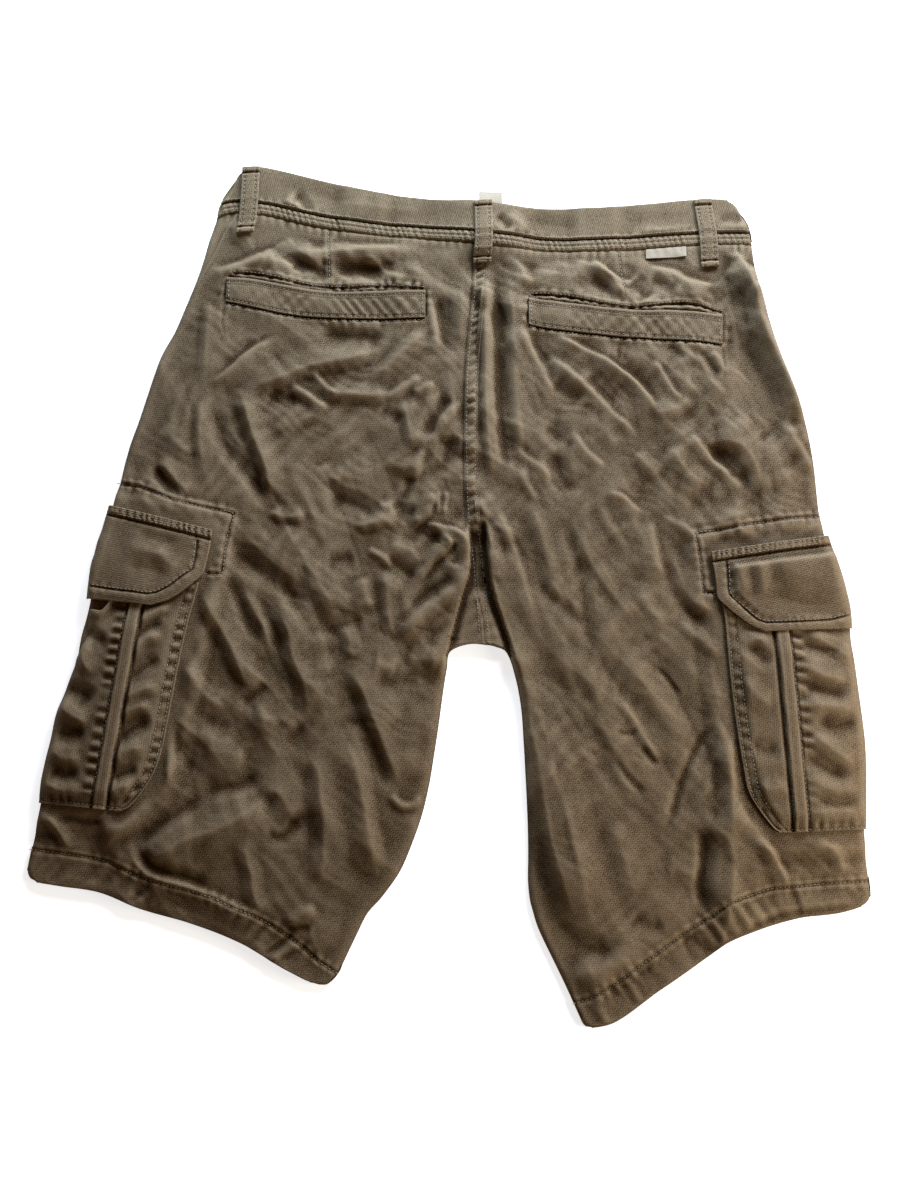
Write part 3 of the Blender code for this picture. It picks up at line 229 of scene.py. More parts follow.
# --- Folds of the back ----------------------------------------------------------------------------
# Each runs along its points. The widths are those of its flanks to the left and to the right of that
# way, the crest is how round the top is, and a negative height is a trough.
FOLDS = (
    # height, left, right, crest, points
    # left, between the band and the welt
    (-3.0, 14, 7, 3, ((-200, 262), (-180, 269), (-162, 274), (-152, 281), (-141, 288), (-122, 293))),
    (2.2, 8, 8, 3, ((-194, 252), (-176, 259), (-158, 264), (-146, 270), (-138, 280))),
    (3.8, 10, 13, 3, ((-136, 272), (-124, 273), (-100, 272), (-70, 274), (-40, 279), (-18, 284))),
    (-2.4, 7, 6, 3, ((-136, 274), (-127, 264), (-112, 258), (-101, 246))),
    (-2.6, 9, 8, 4, ((-98, 248), (-84, 256), (-62, 257), (-40, 266))),
    (-1.4, 6, 5, 2, ((-101, 268), (-103, 256), (-99, 246))),
    (1.8, 5, 6, 2, ((-72, 266), (-58, 262), (-48, 252), (-34, 248))),
    (1.8, 7, 7, 3, ((-150, 262), (-138, 264), (-126, 258))),
    # left, by the welt's right end
    (1.6, 8, 9, 3, ((10, 250), (11, 228), (10, 206), (8, 186))),
    (-2.8, 12, 6, 3, ((-10, 236), (-7, 216), (-4, 200), (2, 184))),
    (1.8, 6, 5, 2, ((-15, 236), (-12, 216), (-10, 198), (-14, 184))),
    # left, under the welt
    (-3.0, 8, 15, 3, ((-108, 203), (-90, 200), (-70, 199), (-48, 197))),
    (4.4, 17, 9, 3, ((-168, 157), (-150, 160), (-132, 166), (-120, 172), (-100, 177), (-80, 181),
                     (-62, 187), (-48, 196))),
    (3.4, 8, 11, 2, ((-66, 168), (-56, 169), (-48, 175), (-38, 185), (-28, 195), (-17, 206))),
    (2.4, 4, 13, 2, ((-198, 158), (-184, 165), (-174, 173), (-164, 183), (-152, 192), (-136, 200))),
    (-1.8, 8, 3, 2, ((-186, 171), (-176, 180), (-166, 189), (-156, 198))),
    (2.2, 4, 7, 2, ((-112, 172), (-104, 161), (-96, 153), (-88, 148))),
    (2.6, 4, 7, 2, ((-130, 160), (-118, 152), (-107, 144), (-96, 136))),
    (3.4, 11, 8, 2, ((-102, 156), (-90, 152), (-70, 150), (-55, 150), (-46, 155))),
    (2.2, 5, 6, 2, ((-52, 145), (-42, 152), (-33, 158), (-21, 166))),
    (1.6, 4, 5, 2, ((-30, 150), (-20, 156), (-10, 160))),
    (2.2, 5, 7, 2, ((9, 146), (1, 134), (-8, 122), (-15, 108))),
    (-2.6, 5, 9, 2, ((4, 148), (-5, 140), (-12, 128), (-18, 112))),
    (2.6, 12, 6, 2, ((-38, 147), (-34, 134), (-31, 118), (-29, 104))),
    (-1.6, 6, 8, 3, ((-56, 138), (-46, 133), (-38, 126))),
    (1.6, 12, 6, 3, ((-142, 118), (-128, 126), (-112, 132), (-96, 128))),
    (-1.8, 8, 8, 3, ((-148, 150), (-136, 146), (-122, 150))),
    # left seat
    (2.2, 20, 7, 3, ((-195, 240), (-197, 205), (-198, 176), (-199, 158))),
    (2.0, 12, 6, 2, ((-200, 150), (-201, 130), (-200, 108), (-196, 86))),
    (-2.8, 9, 8, 2, ((-195, 152), (-190, 136), (-184, 120), (-177, 103), (-163, 87), (-151, 71),
                     (-138, 52))),
    (4.2, 14, 8, 2, ((-174, 160), (-167, 148), (-163, 134), (-158, 118), (-152, 104), (-146, 88),
                     (-144, 74), (-138, 56))),
    (2.6, 9, 5, 2, ((-144, 56), (-136, 51), (-126, 49), (-112, 52))),
    (5.2, 14, 22, 3, ((-134, 50), (-127, 36), (-118, 20), (-107, 2), (-96, -16), (-88, -34))),
    (2.6, 11, 5, 2, ((-236, 98), (-222, 84), (-213, 74), (-206, 64))),
    (-1.8, 5, 5, 2, ((-240, 90), (-228, 78), (-216, 66))),
    (1.4, 10, 8, 3, ((-232, 126), (-220, 112), (-206, 100))),
    (-2.6, 9, 13, 3, ((-98, 66), (-88, 64), (-75, 60), (-64, 55), (-54, 47))),
    (2.4, 14, 5, 2, ((-76, 42), (-62, 43), (-50, 46), (-40, 43))),
    (1.6, 6, 3, 2, ((-56, 56), (-48, 58), (-43, 50))),
    (2.6, 4, 9, 2, ((-12, 71), (-14, 59), (-20, 49), (-31, 42))),
    (-2.2, 8, 8, 3, ((-46, 62), (-36, 54), (-24, 52))),
    (-1.6, 5, 5, 2, ((-30, 84), (-33, 72), (-38, 62))),
    (1.6, 5, 5, 2, ((-18, 106), (-24, 94), (-28, 78))),
    (-2.2, 8, 8, 3, ((2, 118), (-2, 100), (-4, 82))),
    (1.2, 2.4, 2.4, 1, ((-8, 72), (-8, 60), (-9, 50))),
    (1.2, 2.4, 2.4, 1, ((-2, 72), (-2, 62), (-4, 50))),
    (1.6, 10, 7, 3, ((-52, 100), (-42, 92), (-30, 90), (-16, 96))),
    (-1.6, 6, 12, 3, ((-98, 13), (-86, 15), (-74, 18))),
    (1.8, 10, 6, 3, ((-104, 94), (-98, 84), (-84, 78))),
    # the lobe beside the crotch, left
    (2.6, 2.6, 14, 2, ((-22, 44), (-6, 41), (5, 38), (12, 33), (15, 24), (15, 12))),
    (2.8, 3, 12, 1.5, ((-7, 37), (1, 28), (-4, 21), (-12, 14), (-20, 3), (-28, -7))),
    (-2.2, 9, 9, 2, ((-30, 40), (-16, 34), (-6, 27))),
    (-2.0, 7, 7, 2, ((2, 28), (6, 18), (4, 8))),
    (2.6, 9, 13, 2, ((-49, 26), (-38, 25), (-28, 20), (-21, 10))),
    (-2.8, 9, 12, 2, ((-50, 18), (-41, 9), (-33, 3), (-25, -1))),
    (-2.6, 7, 7, 2, ((-34, -24), (-22, -17), (-8, -7), (6, 1))),
    (3.8, 9, 9, 2, ((-41, -52), (-31, -41), (-16, -26), (0, -13), (9, -8))),
    (3.4, 9, 7, 2, ((-52, 8), (-49, -12), (-47, -32), (-43, -50))),
    (2.0, 4, 4, 2, ((-66, 24), (-54, 17), (-44, 8))),
    (-2.0, 8, 6, 3, ((4, -36), (-8, -44), (-20, -54))),
    (2.8, 11, 12, 3, ((-34, -63), (-20, -65), (-6, -68))),
    (-1.6, 10, 12, 3, ((-60, -84), (-40, -84), (-22, -82))),
    (2.2, 9, 10, 3, ((-60, -68), (-50, -70), (-40, -74))),
    (-2.8, 9, 10, 3, ((-100, -46), (-84, -38), (-66, -32))),
    (2.6, 7, 10, 2, ((-70, 2), (-66, -12), (-64, -26))),
    # left thigh
    (-3.0, 14, 10, 4, ((-176, 24), (-152, 8), (-130, -8), (-108, -26))),
    (4.8, 14, 9, 2, ((-200, -4), (-188, -25), (-178, -42), (-169, -58), (-162, -76), (-155, -94))),
    (-2.6, 8, 5, 2, ((-175, 4), (-165, -22), (-157, -40), (-145, -54))),
    (2.2, 6, 6, 2, ((-163, -7), (-155, -24), (-147, -38), (-141, -54))),
    (-2.0, 9, 6, 3, ((-154, -4), (-144, -24), (-137, -44), (-131, -68))),
    (4.8, 24, 9, 2, ((-138, -20), (-132, -31), (-126, -44), (-122, -62), (-114, -82), (-110, -104),
                     (-112, -120))),
    (4.2, 12, 15, 2, ((-214, -66), (-202, -77), (-194, -88), (-184, -98), (-170, -104))),
    (-2.4, 6, 10, 2, ((-162, -101), (-151, -92), (-141, -83))),
    (3.2, 13, 14, 3, ((-154, -110), (-140, -111), (-127, -113), (-116, -121))),
    (2.4, 12, 8, 3, ((-104, -40), (-98, -58), (-94, -80))),
    (2.4, 10, 7, 2, ((-82, -36), (-78, -52), (-76, -66))),
    (5.0, 22, 10, 2, ((-86, -66), (-73, -80), (-66, -92), (-58, -112), (-50, -132), (-42, -152),
                      (-35, -168))),
    (-2.8, 9, 9, 3, ((-90, -108), (-78, -113), (-67, -117), (-58, -134), (-51, -152), (-46, -168))),
    (2.2, 5, 4, 1.5, ((-46, -168), (-38, -178), (-26, -178), (-20, -168))),
    (3.8, 10, 15, 3, ((-88, -116), (-74, -142), (-64, -186), (-54, -240))),
    (1.6, 12, 12, 5, ((-24, -96), (-26, -130), (-30, -160))),
    # left leg, below
    (7.8, 20, 27, 2.5, ((-240, -227), (-222, -217), (-201, -204), (-181, -198), (-161, -188),
                        (-150, -180), (-138, -167))),
    (3.4, 20, 10, 2.5, ((-146, -172), (-137, -167), (-130, -170), (-124, -180), (-121, -192))),
    (-2.2, 9, 7, 2, ((-243, -213), (-236, -206), (-222, -193), (-210, -184), (-197, -175),
                     (-186, -167))),
    (-3.0, 13, 8, 2, ((-194, -170), (-176, -165), (-158, -161), (-146, -152))),
    (2.2, 12, 12, 4, ((-192, -136), (-172, -138), (-155, -143))),
    (3.2, 6, 3, 2, ((-222, -112), (-219, -126), (-217, -146), (-218, -164))),
    (3.2, 6, 15, 2, ((-248, -198), (-245, -214), (-236, -228), (-222, -235), (-200, -241),
                     (-181, -249), (-160, -258), (-134, -272))),
    (-2.6, 8, 5, 2, ((-240, -206), (-236, -218), (-228, -226), (-212, -231), (-198, -235),
                     (-180, -244))),
    (4.6, 20, 11, 2, ((-120, -128), (-109, -141), (-101, -152), (-99, -170), (-96, -190), (-96, -220),
                      (-98, -244))),
    (2.8, 9, 9, 2, ((-154, -198), (-156, -214), (-151, -232), (-150, -243), (-145, -256), (-137, -267))),
    (-1.8, 5, 7, 2, ((-141, -197), (-133, -203), (-124, -199), (-117, -187))),
    (2.4, 7, 8, 2, ((-126, -270), (-114, -262), (-100, -254))),
    (-1.6, 4, 6, 1.5, ((-126, -272), (-114, -271), (-104, -273))),
    (-2.6, 14, 14, 5, ((-64, -254), (-76, -282), (-90, -306))),
    (-1.8, 2.6, 2.6, 1, ((-116, -275), (-130, -283), (-143, -293))),
    (1.8, 3.5, 3.5, 1, ((-110, -281), (-126, -289), (-138, -298))),
    (3.0, 8, 6, 2, ((-320, -176), (-307, -190), (-297, -204), (-292, -214))),
    (-3.2, 12, 12, 4, ((-306, -184), (-282, -192), (-262, -190))),
    (3.0, 8, 9, 2, ((-230, -168), (-244, -188), (-256, -200), (-268, -214))),
    (1.6, 10, 10, 4, ((-200, -118), (-180, -128), (-164, -126))),
    # right of the seat seam
    (3.8, 9, 5, 2.5, ((31, 266), (30, 214), (30, 160), (32, 112), (38, 70))),
    (-3.8, 10, 6, 2.5, ((39, 264), (40, 214), (41, 160), (44, 117), (50, 78))),
    (2.4, 14, 8, 3, ((50, 262), (53, 210), (55, 160), (58, 122), (63, 90))),
    (1.8, 5, 9, 2, ((58, 214), (66, 190), (76, 170), (84, 152), (92, 142))),
    (-2.0, 9, 6, 3, ((68, 206), (74, 190), (82, 176))),
    (-2.0, 11, 9, 4, ((84, 162), (96, 152), (108, 142))),
    (-2.2, 12, 10, 4, ((78, 126), (92, 114), (104, 106))),
    (2.0, 4, 7, 2, ((98, 122), (108, 106), (118, 96), (128, 87))),
    (1.8, 4, 5, 1.5, ((52, 108), (62, 99), (76, 87), (84, 76))),
    (1.6, 5, 5, 2, ((56, 88), (64, 74), (72, 60))),
    (-2.0, 9, 9, 4, ((82, 106), (90, 86), (98, 66))),
    # waist, right
    (2.6, 5, 9, 2, ((116, 268), (124, 260), (133, 252), (141, 241), (146, 232))),
    (-2.4, 9, 5, 3, ((130, 264), (142, 256), (154, 250))),
    (-2.8, 10, 9, 3, ((150, 250), (158, 240), (164, 230))),
    (-2.6, 8, 9, 2, ((158, 274), (170, 268), (184, 265), (192, 261), (199, 255), (212, 253),
                     (228, 255))),
    (2.8, 9, 13, 3, ((164, 262), (182, 256), (194, 248), (210, 244), (230, 246))),
    (2.2, 7, 8, 3, ((44, 274), (60, 258), (64, 240))),
    (2.0, 12, 9, 4, ((66, 258), (92, 254), (116, 252))),
    (-1.8, 6, 6, 3, ((212, 244), (220, 238), (226, 230))),
    (-1.6, 8, 7, 3, ((164, 250), (176, 246), (190, 240))),
    # under the right welt
    (3.0, 3.5, 11, 1.5, ((80, 205), (96, 196), (109, 189), (126, 180), (137, 172), (149, 163),
                         (160, 151), (169, 137))),
    (-2.8, 11, 3.5, 2, ((128, 186), (142, 174), (154, 165), (165, 152), (173, 139))),
    (2.6, 4.5, 9, 1.5, ((76, 187), (92, 174), (105, 163), (115, 153), (126, 142), (135, 132),
                        (147, 121), (154, 109))),
    (-1.4, 9, 4, 2, ((112, 170), (124, 156), (138, 142))),
    (2.0, 3, 6, 1.5, ((166, 182), (172, 171), (178, 160), (185, 150), (193, 147))),
    (2.2, 12, 10, 2, ((182, 184), (192, 173), (195, 161), (193, 148))),
    (2.2, 5, 8, 2, ((182, 196), (194, 186), (205, 178), (211, 166), (220, 155), (229, 146))),
    (-1.8, 8, 4, 2, ((204, 190), (214, 177), (221, 164))),
    (1.6, 4, 5, 2, ((214, 188), (220, 178), (226, 166))),
    (-1.4, 6, 5, 2, ((178, 194), (186, 188), (194, 180))),
    (2.2, 9, 7, 3, ((164, 132), (174, 136), (186, 140), (198, 150))),
    (1.4, 8, 8, 4, ((110, 134), (126, 120), (138, 104))),
    # right hip
    (1.8, 9, 9, 3, ((228, 262), (231, 232), (235, 200), (240, 168))),
    (-6.0, 20, 24, 4, ((222, 300), (226, 270), (230, 246), (233, 222), (238, 200), (246, 180),
                       (255, 160), (264, 142),
                       (274, 124), (284, 106))),
    (11.0, 12, 24, 2.5, ((226, 300), (235, 278), (243, 258), (249, 240), (253, 222), (259, 202),
                         (267, 184), (275, 166),
                      (283, 148), (291, 130), (299, 112))),
    (-2.6, 12, 10, 3, ((220, 264), (238, 266), (256, 262))),
    (2.0, 6, 8, 2, ((251, 246), (258, 234), (265, 221))),
    (3.4, 6, 9, 2, ((269, 130), (280, 113), (288, 99), (293, 84))),
    (4.4, 22, 10, 2, ((203, 108), (214, 111), (225, 111), (236, 108), (245, 96), (251, 78), (257, 62))),
    (-3.0, 9, 5, 2, ((208, 112), (214, 104), (222, 94), (232, 84), (244, 76))),
    (3.0, 5, 6, 2, ((194, 120), (202, 108), (210, 97), (218, 89), (228, 81))),
    (3.8, 11, 15, 2, ((174, 108), (182, 99), (191, 87), (200, 79), (212, 75))),
    (3.0, 15, 6, 2, ((190, 46), (204, 45), (222, 47), (242, 56))),
    (1.6, 12, 8, 4, ((256, 118), (266, 98), (272, 74))),
    (1.8, 8, 8, 4, ((150, 104), (160, 92), (172, 84))),
    # right seat and thigh
    (4.8, 15, 9, 2, ((20, 68), (29, 52), (38, 43), (45, 36), (49, 25))),
    (2.2, 5, 8, 1.2, ((36, 62), (43, 46), (48, 33), (53, 20), (58, 2), (62, -12), (67, -29), (72, -44))),
    (-2.6, 7, 7, 2, ((29, 54), (36, 42), (43, 28), (46, 12))),
    (1.8, 7, 7, 3, ((34, 24), (37, 10), (40, -4))),
    (6.6, 20, 24, 3, ((50, -24), (54, -46), (58, -72), (64, -97), (72, -113), (79, -134), (82, -156),
                      (89, -177), (95, -200), (101, -228), (107, -256), (116, -278))),
    (5.0, 12, 15, 2, ((54, -80), (64, -115), (70, -150), (75, -180), (79, -206), (85, -228),
                      (92, -250), (101, -272))),
    (3.0, 8, 8, 3, ((64, 70), (76, 28), (84, -4), (96, -28))),
    (-2.0, 6, 6, 3, ((70, 2), (78, -12), (93, -25), (108, -40))),
    (-2.6, 8, 7, 2.5, ((95, 58), (98, 34), (103, 12), (107, -10), (109, -32), (113, -46), (128, -60))),
    (3.4, 11, 9, 2, ((100, 60), (103, 38), (110, 20), (118, 5), (128, -10), (138, -23), (150, -36))),
    (-2.0, 8, 6, 3, ((106, 18), (114, 4), (126, -14), (140, -30))),
    (1.6, 5, 6, 2, ((118, 66), (126, 48), (136, 30), (144, 14))),
    (2.8, 3.5, 10, 1.5, ((126, 69), (133, 67), (140, 65), (147, 58), (157, 51))),
    (3.8, 6, 13, 2, ((158, 50), (162, 40), (163, 28), (165, 14), (170, -2))),
    (2.4, 4, 13, 1.5, ((170, 51), (182, 44), (190, 38), (197, 30))),
    (2.6, 11, 8, 2, ((174, 24), (182, 6), (187, -8), (193, -19), (203, -24), (214, -25))),
    (-1.8, 7, 9, 2, ((170, 16), (177, -4), (184, -20), (193, -31), (206, -34), (218, -35))),
    (2.8, 10, 6, 2, ((182, -32), (196, -47), (208, -57), (219, -64))),
    (1.6, 8, 6, 3, ((150, -8), (160, -26), (174, -40))),
    (-1.6, 2.5, 2.5, 1.2, ((164, -70), (174, -82), (183, -95))),
    (1.6, 10, 12, 2, ((104, -56), (112, -74), (117, -92), (119, -112), (125, -128), (132, -146),
                      (138, -162), (144, -184))),
    (-0.9, 10, 10, 2, ((98, -62), (106, -80), (111, -100), (114, -120), (122, -142), (130, -160),
                       (138, -184))),
    (2.0, 5, 5, 2, ((130, -92), (140, -104), (148, -118), (158, -134), (168, -146))),
    (-1.4, 4, 4, 1.5, ((128, -140), (139, -156), (154, -172))),
    (-1.2, 3, 3, 1, ((130, -121), (140, -123), (149, -120))),
    (-1.4, 3, 3, 1.5, ((150, -132), (156, -140), (163, -148))),
    (1.8, 12, 9, 4, ((126, -190), (136, -220), (144, -250))),
    (-1.8, 4.5, 4.5, 2, ((213, -114), (200, -124), (188, -144), (181, -161), (175, -180), (167, -202))),
    (2.6, 18, 14, 4, ((214, -126), (204, -150), (196, -176), (188, -206))),
    (4.6, 14, 12, 2, ((224, -118), (220, -134), (219, -160), (218, -190), (218, -206))),
    (7.2, 32, 23, 2, ((192, -180), (200, -188), (207, -196), (214, -202), (218, -214), (218, -234),
                      (216, -250), (213, -268),
                     (208, -284), (203, -298))),
    (-3.2, 9, 6, 2, ((192, -192), (197, -208), (196, -226), (194, -244), (200, -262))),
    (1.4, 14, 13, 3, ((166, -226), (180, -228), (193, -235))),
    (3.0, 5, 8, 2, ((236, -202), (250, -218), (262, -242))),
    (2.2, 7, 8, 3, ((280, -202), (298, -214), (306, -234))),
    (-3.0, 13, 18, 3, ((70, -274), (90, -281), (108, -287), (130, -292))),
    (2.4, 12, 14, 4, ((86, -312), (106, -304), (130, -298), (150, -290))),
    (-1.6, 8, 8, 4, ((140, -262), (154, -270), (166, -268))),
    # across the right hem
    (-1.0, 3, 5, 1.5, ((262, -236), (267, -249), (272, -266))),
    (-2.4, 5, 8, 2, ((181, -272), (188, -284), (196, -298))),
    (-2.2, 3.5, 6, 1.5, ((147, -298), (155, -309), (164, -324))),
    (-2.0, 3, 5, 1.5, ((123, -312), (130, -323), (140, -337))),
    (2.4, 15, 5, 2, ((214, -276), (232, -266), (254, -258), (280, -254), (308, -251), (322, -247))),
    # along the left hem
    (1.8, 16, 9, 3, ((-322, -230), (-285, -236), (-256, -244), (-222, -254), (-190, -264),
                     (-158, -278), (-128, -295),
                     (-104, -308))),
    # along the frames over the cargo pockets
    (3.2, 18, 14, 2, ((186, 38), (204, 40), (222, 43), (242, 47), (264, 51), (286, 53), (306, 55))),
    (2.0, 14, 14, 2, ((-282, 82), (-262, 80), (-242, 74), (-222, 66), (-202, 61), (-182, 57))),
    # by the left side seam
    (-2.4, 5, 6, 2, ((-178, 300), (-190, 279), (-202, 261), (-210, 244))),
)

# --- Shape of the back ----------------------------------------------------------------------------
PUFF = 1.0  # how far the back stands above its flat height all over
SWELL = 4.6  # how much further it stands in the middle of a leg
CREASES = (
    # small creases between the folds: height in wrinkles, spacing, lean, seed
    (6.0, 48.0, -1.08, 22), (-5.0, 38.0, -0.72, 25), (2.6, 27.0, -1.38, 28), (-3.6, 44.0, 0.42, 33),
    (1.5, 17.0, -0.95, 36), (-1.2, 15.0, 0.9, 39), (0.6, 9.0, -0.6, 42),
)
CALM = (
    # patches where the folds are lower: x, y, half_x, half_y, fade, by what share
    (125.0, -30.0, 70.0, 80.0, 40.0, 0.35),
    (-95.0, -70.0, 90.0, 60.0, 40.0, 0.2),
)
PUCKER = 0.4  # height of the gathers beside a sewn line, as a share of its depth
FORK = [
    # outline of the opening between the legs' lobes, where the tongue of cloth shows
    (17, 44), (18.5, 30), (18.8, 12), (17, 0), (11.5, -14), (7.5, -30), (3.5, -46), (-1, -62),
    (49.5, -62), (47, -52), (41.5, -36), (36, -20), (32, -4), (30.2, 14), (29.5, 34), (28, 44),
]
TONGUE_SEAM = ((20, 24), (22, -10), (25.5, -22), (28.5, -38), (29.5, -56))
LOBE_RISE = 4.2  # how far the legs' lobes stand above the rest beside it

# --- Lines sewn or pressed into the back ----------------------------------------------------------
LEFT_FRAME_TOP = (
    (-178, 254), (-160, 253), (-140, 249), (-120, 244), (-100, 241.5), (-80, 241), (-60, 242),
    (-40, 241.5), (-20, 240),
)
RIGHT_FRAME_TOP = (
    (67, 235.5), (80, 235.5), (100, 233.5), (115, 230), (130, 227), (150, 224.5), (170, 226),
    (190, 228), (205, 226.5), (218, 222.5), (226, 221),
)
LEFT_HEM_LINE = (
    (-325, -212), (-300, -215), (-280, -218), (-262, -222), (-240, -232), (-220, -238), (-200, -243),
    (-180, -249), (-165, -256), (-150, -262), (-140, -267), (-125, -276), (-110, -287), (-100, -296),
    (-84, -306),
)
RIGHT_HEM_LINE = (
    (94, -328), (110, -323), (130, -311), (150, -297), (170, -283), (185, -272), (200, -264),
    (215, -252), (230, -247), (250, -241.5), (270, -240), (290, -238), (310, -237), (327, -236),
)
LEFT_POCKET_FRAME = (
    (-268, 78), (-250, 75), (-240, 71), (-220, 63), (-200, 58), (-185, 55), (-172, 52), (-176, 35),
    (-178, 22), (-180, 3), (-194, 3),
)
RIGHT_POCKET_FRAME = (
    (300, 51), (285, 49.5), (265, 47), (240, 43), (215, 38), (197, 35), (199, 20), (201, 5),
    (202, -12), (212, -13),
)


def welt_edge(table, column, out=0.0):
    """A welt's top (column 1) or bottom edge (column 2), moved up by out."""
    return tuple((row[0], row[column] + out) for row in table)


PANEL_LINES = (
    # depth, half width, points
    (1.7, 1.5, LEFT_FRAME_TOP),
    (1.7, 1.5, RIGHT_FRAME_TOP),
    (1.5, 1.2, welt_edge(LEFT_WELT, 2, -0.8)),
    (1.5, 1.2, welt_edge(RIGHT_WELT, 2, -0.8)),
    (1.8, 1.4, welt_edge(LEFT_WELT, 1, 1.0)),
    (1.8, 1.4, welt_edge(RIGHT_WELT, 1, 1.0)),
    (1.2, 1.1, ((-184, 231), (-182.5, 242), (-179, 254))),
    (1.2, 1.1, ((-18.5, 240), (-18.5, 228), (-18.8, 215))),
    (1.2, 1.1, ((64.5, 210), (66, 222), (67, 235))),
    (1.2, 1.1, ((226, 221), (225.5, 208), (224.5, 193))),
    (0.9, 1.2, LEFT_HEM_LINE),
    (0.9, 1.2, RIGHT_HEM_LINE),
    (1.2, 1.1, LEFT_POCKET_FRAME),
    (1.2, 1.1, RIGHT_POCKET_FRAME),
    (0.5, 0.9, ((-100, 293), (-98.5, 268), (-98, 243))),
    (0.5, 0.9, ((141, 275), (143, 255), (146, 233))),
    (0.35, 1.0, ((-184, 228), (-185, 210), (-182, 200))),
    (0.4, 1.0, ((224.5, 192), (225, 176), (224, 162))),
    (0.35, 1.4, ((140, 198), (139, 188), (139, 180))),
)
SNAP_LINES = [line for depth, _, line in PANEL_LINES if depth >= 0.9]
PANEL_STITCHES = {
    # points, offset to the left
    -1: ((LEFT_HEM_LINE, 0.0), (LEFT_FRAME_TOP, 1.6), (LEFT_POCKET_FRAME, 0.0),
         (welt_edge(LEFT_WELT, 2, -2.4), 0.0), (((-100, 292), (-98.5, 268), (-98, 244)), 0.0)),
    1: ((RIGHT_HEM_LINE, 0.0), (RIGHT_FRAME_TOP, 1.6), (RIGHT_POCKET_FRAME, 0.0),
        (welt_edge(RIGHT_WELT, 2, -2.4), 0.0), (((141, 273), (143, 255), (146, 235)), 0.0)),
}

# --- Shape of the band ----------------------------------------------------------------------------
BAND_GROOVE = 9.9  # from the band's seam to the groove above its stitched strip
BETWEEN_LOOPS = ((-190, -173), (-160, 20), (36, 207), (223, 250))
BAND_FOLDS = (
    # height, left, right, crest, points
    (-2.4, 4, 4, 2, ((-130, 326), (-122, 318), (-114, 305))),
    (1.8, 5, 4, 2, ((-138, 322), (-126, 312), (-120, 304))),
    (-1.6, 7, 7, 4, ((-146, 334), (-110, 324), (-70, 314))),
    (1.6, 6, 6, 3, ((-100, 318), (-60, 312), (-10, 308))),
    (-2.0, 3, 3, 2, ((38, 304), (46, 297), (52, 289))),
    (1.5, 4, 4, 2, ((48, 306), (58, 298), (66, 288))),
    (-1.3, 5, 5, 3, ((62, 302), (86, 298), (112, 294))),
    (-1.4, 6, 6, 3, ((140, 304), (170, 298), (208, 300))),
    (1.6, 5, 5, 3, ((150, 292), (178, 293), (208, 298))),
    (-1.6, 4, 4, 2, ((222, 301), (236, 302), (248, 300))),
    (1.4, 4, 4, 2, ((222, 296), (236, 297), (250, 294))),
)

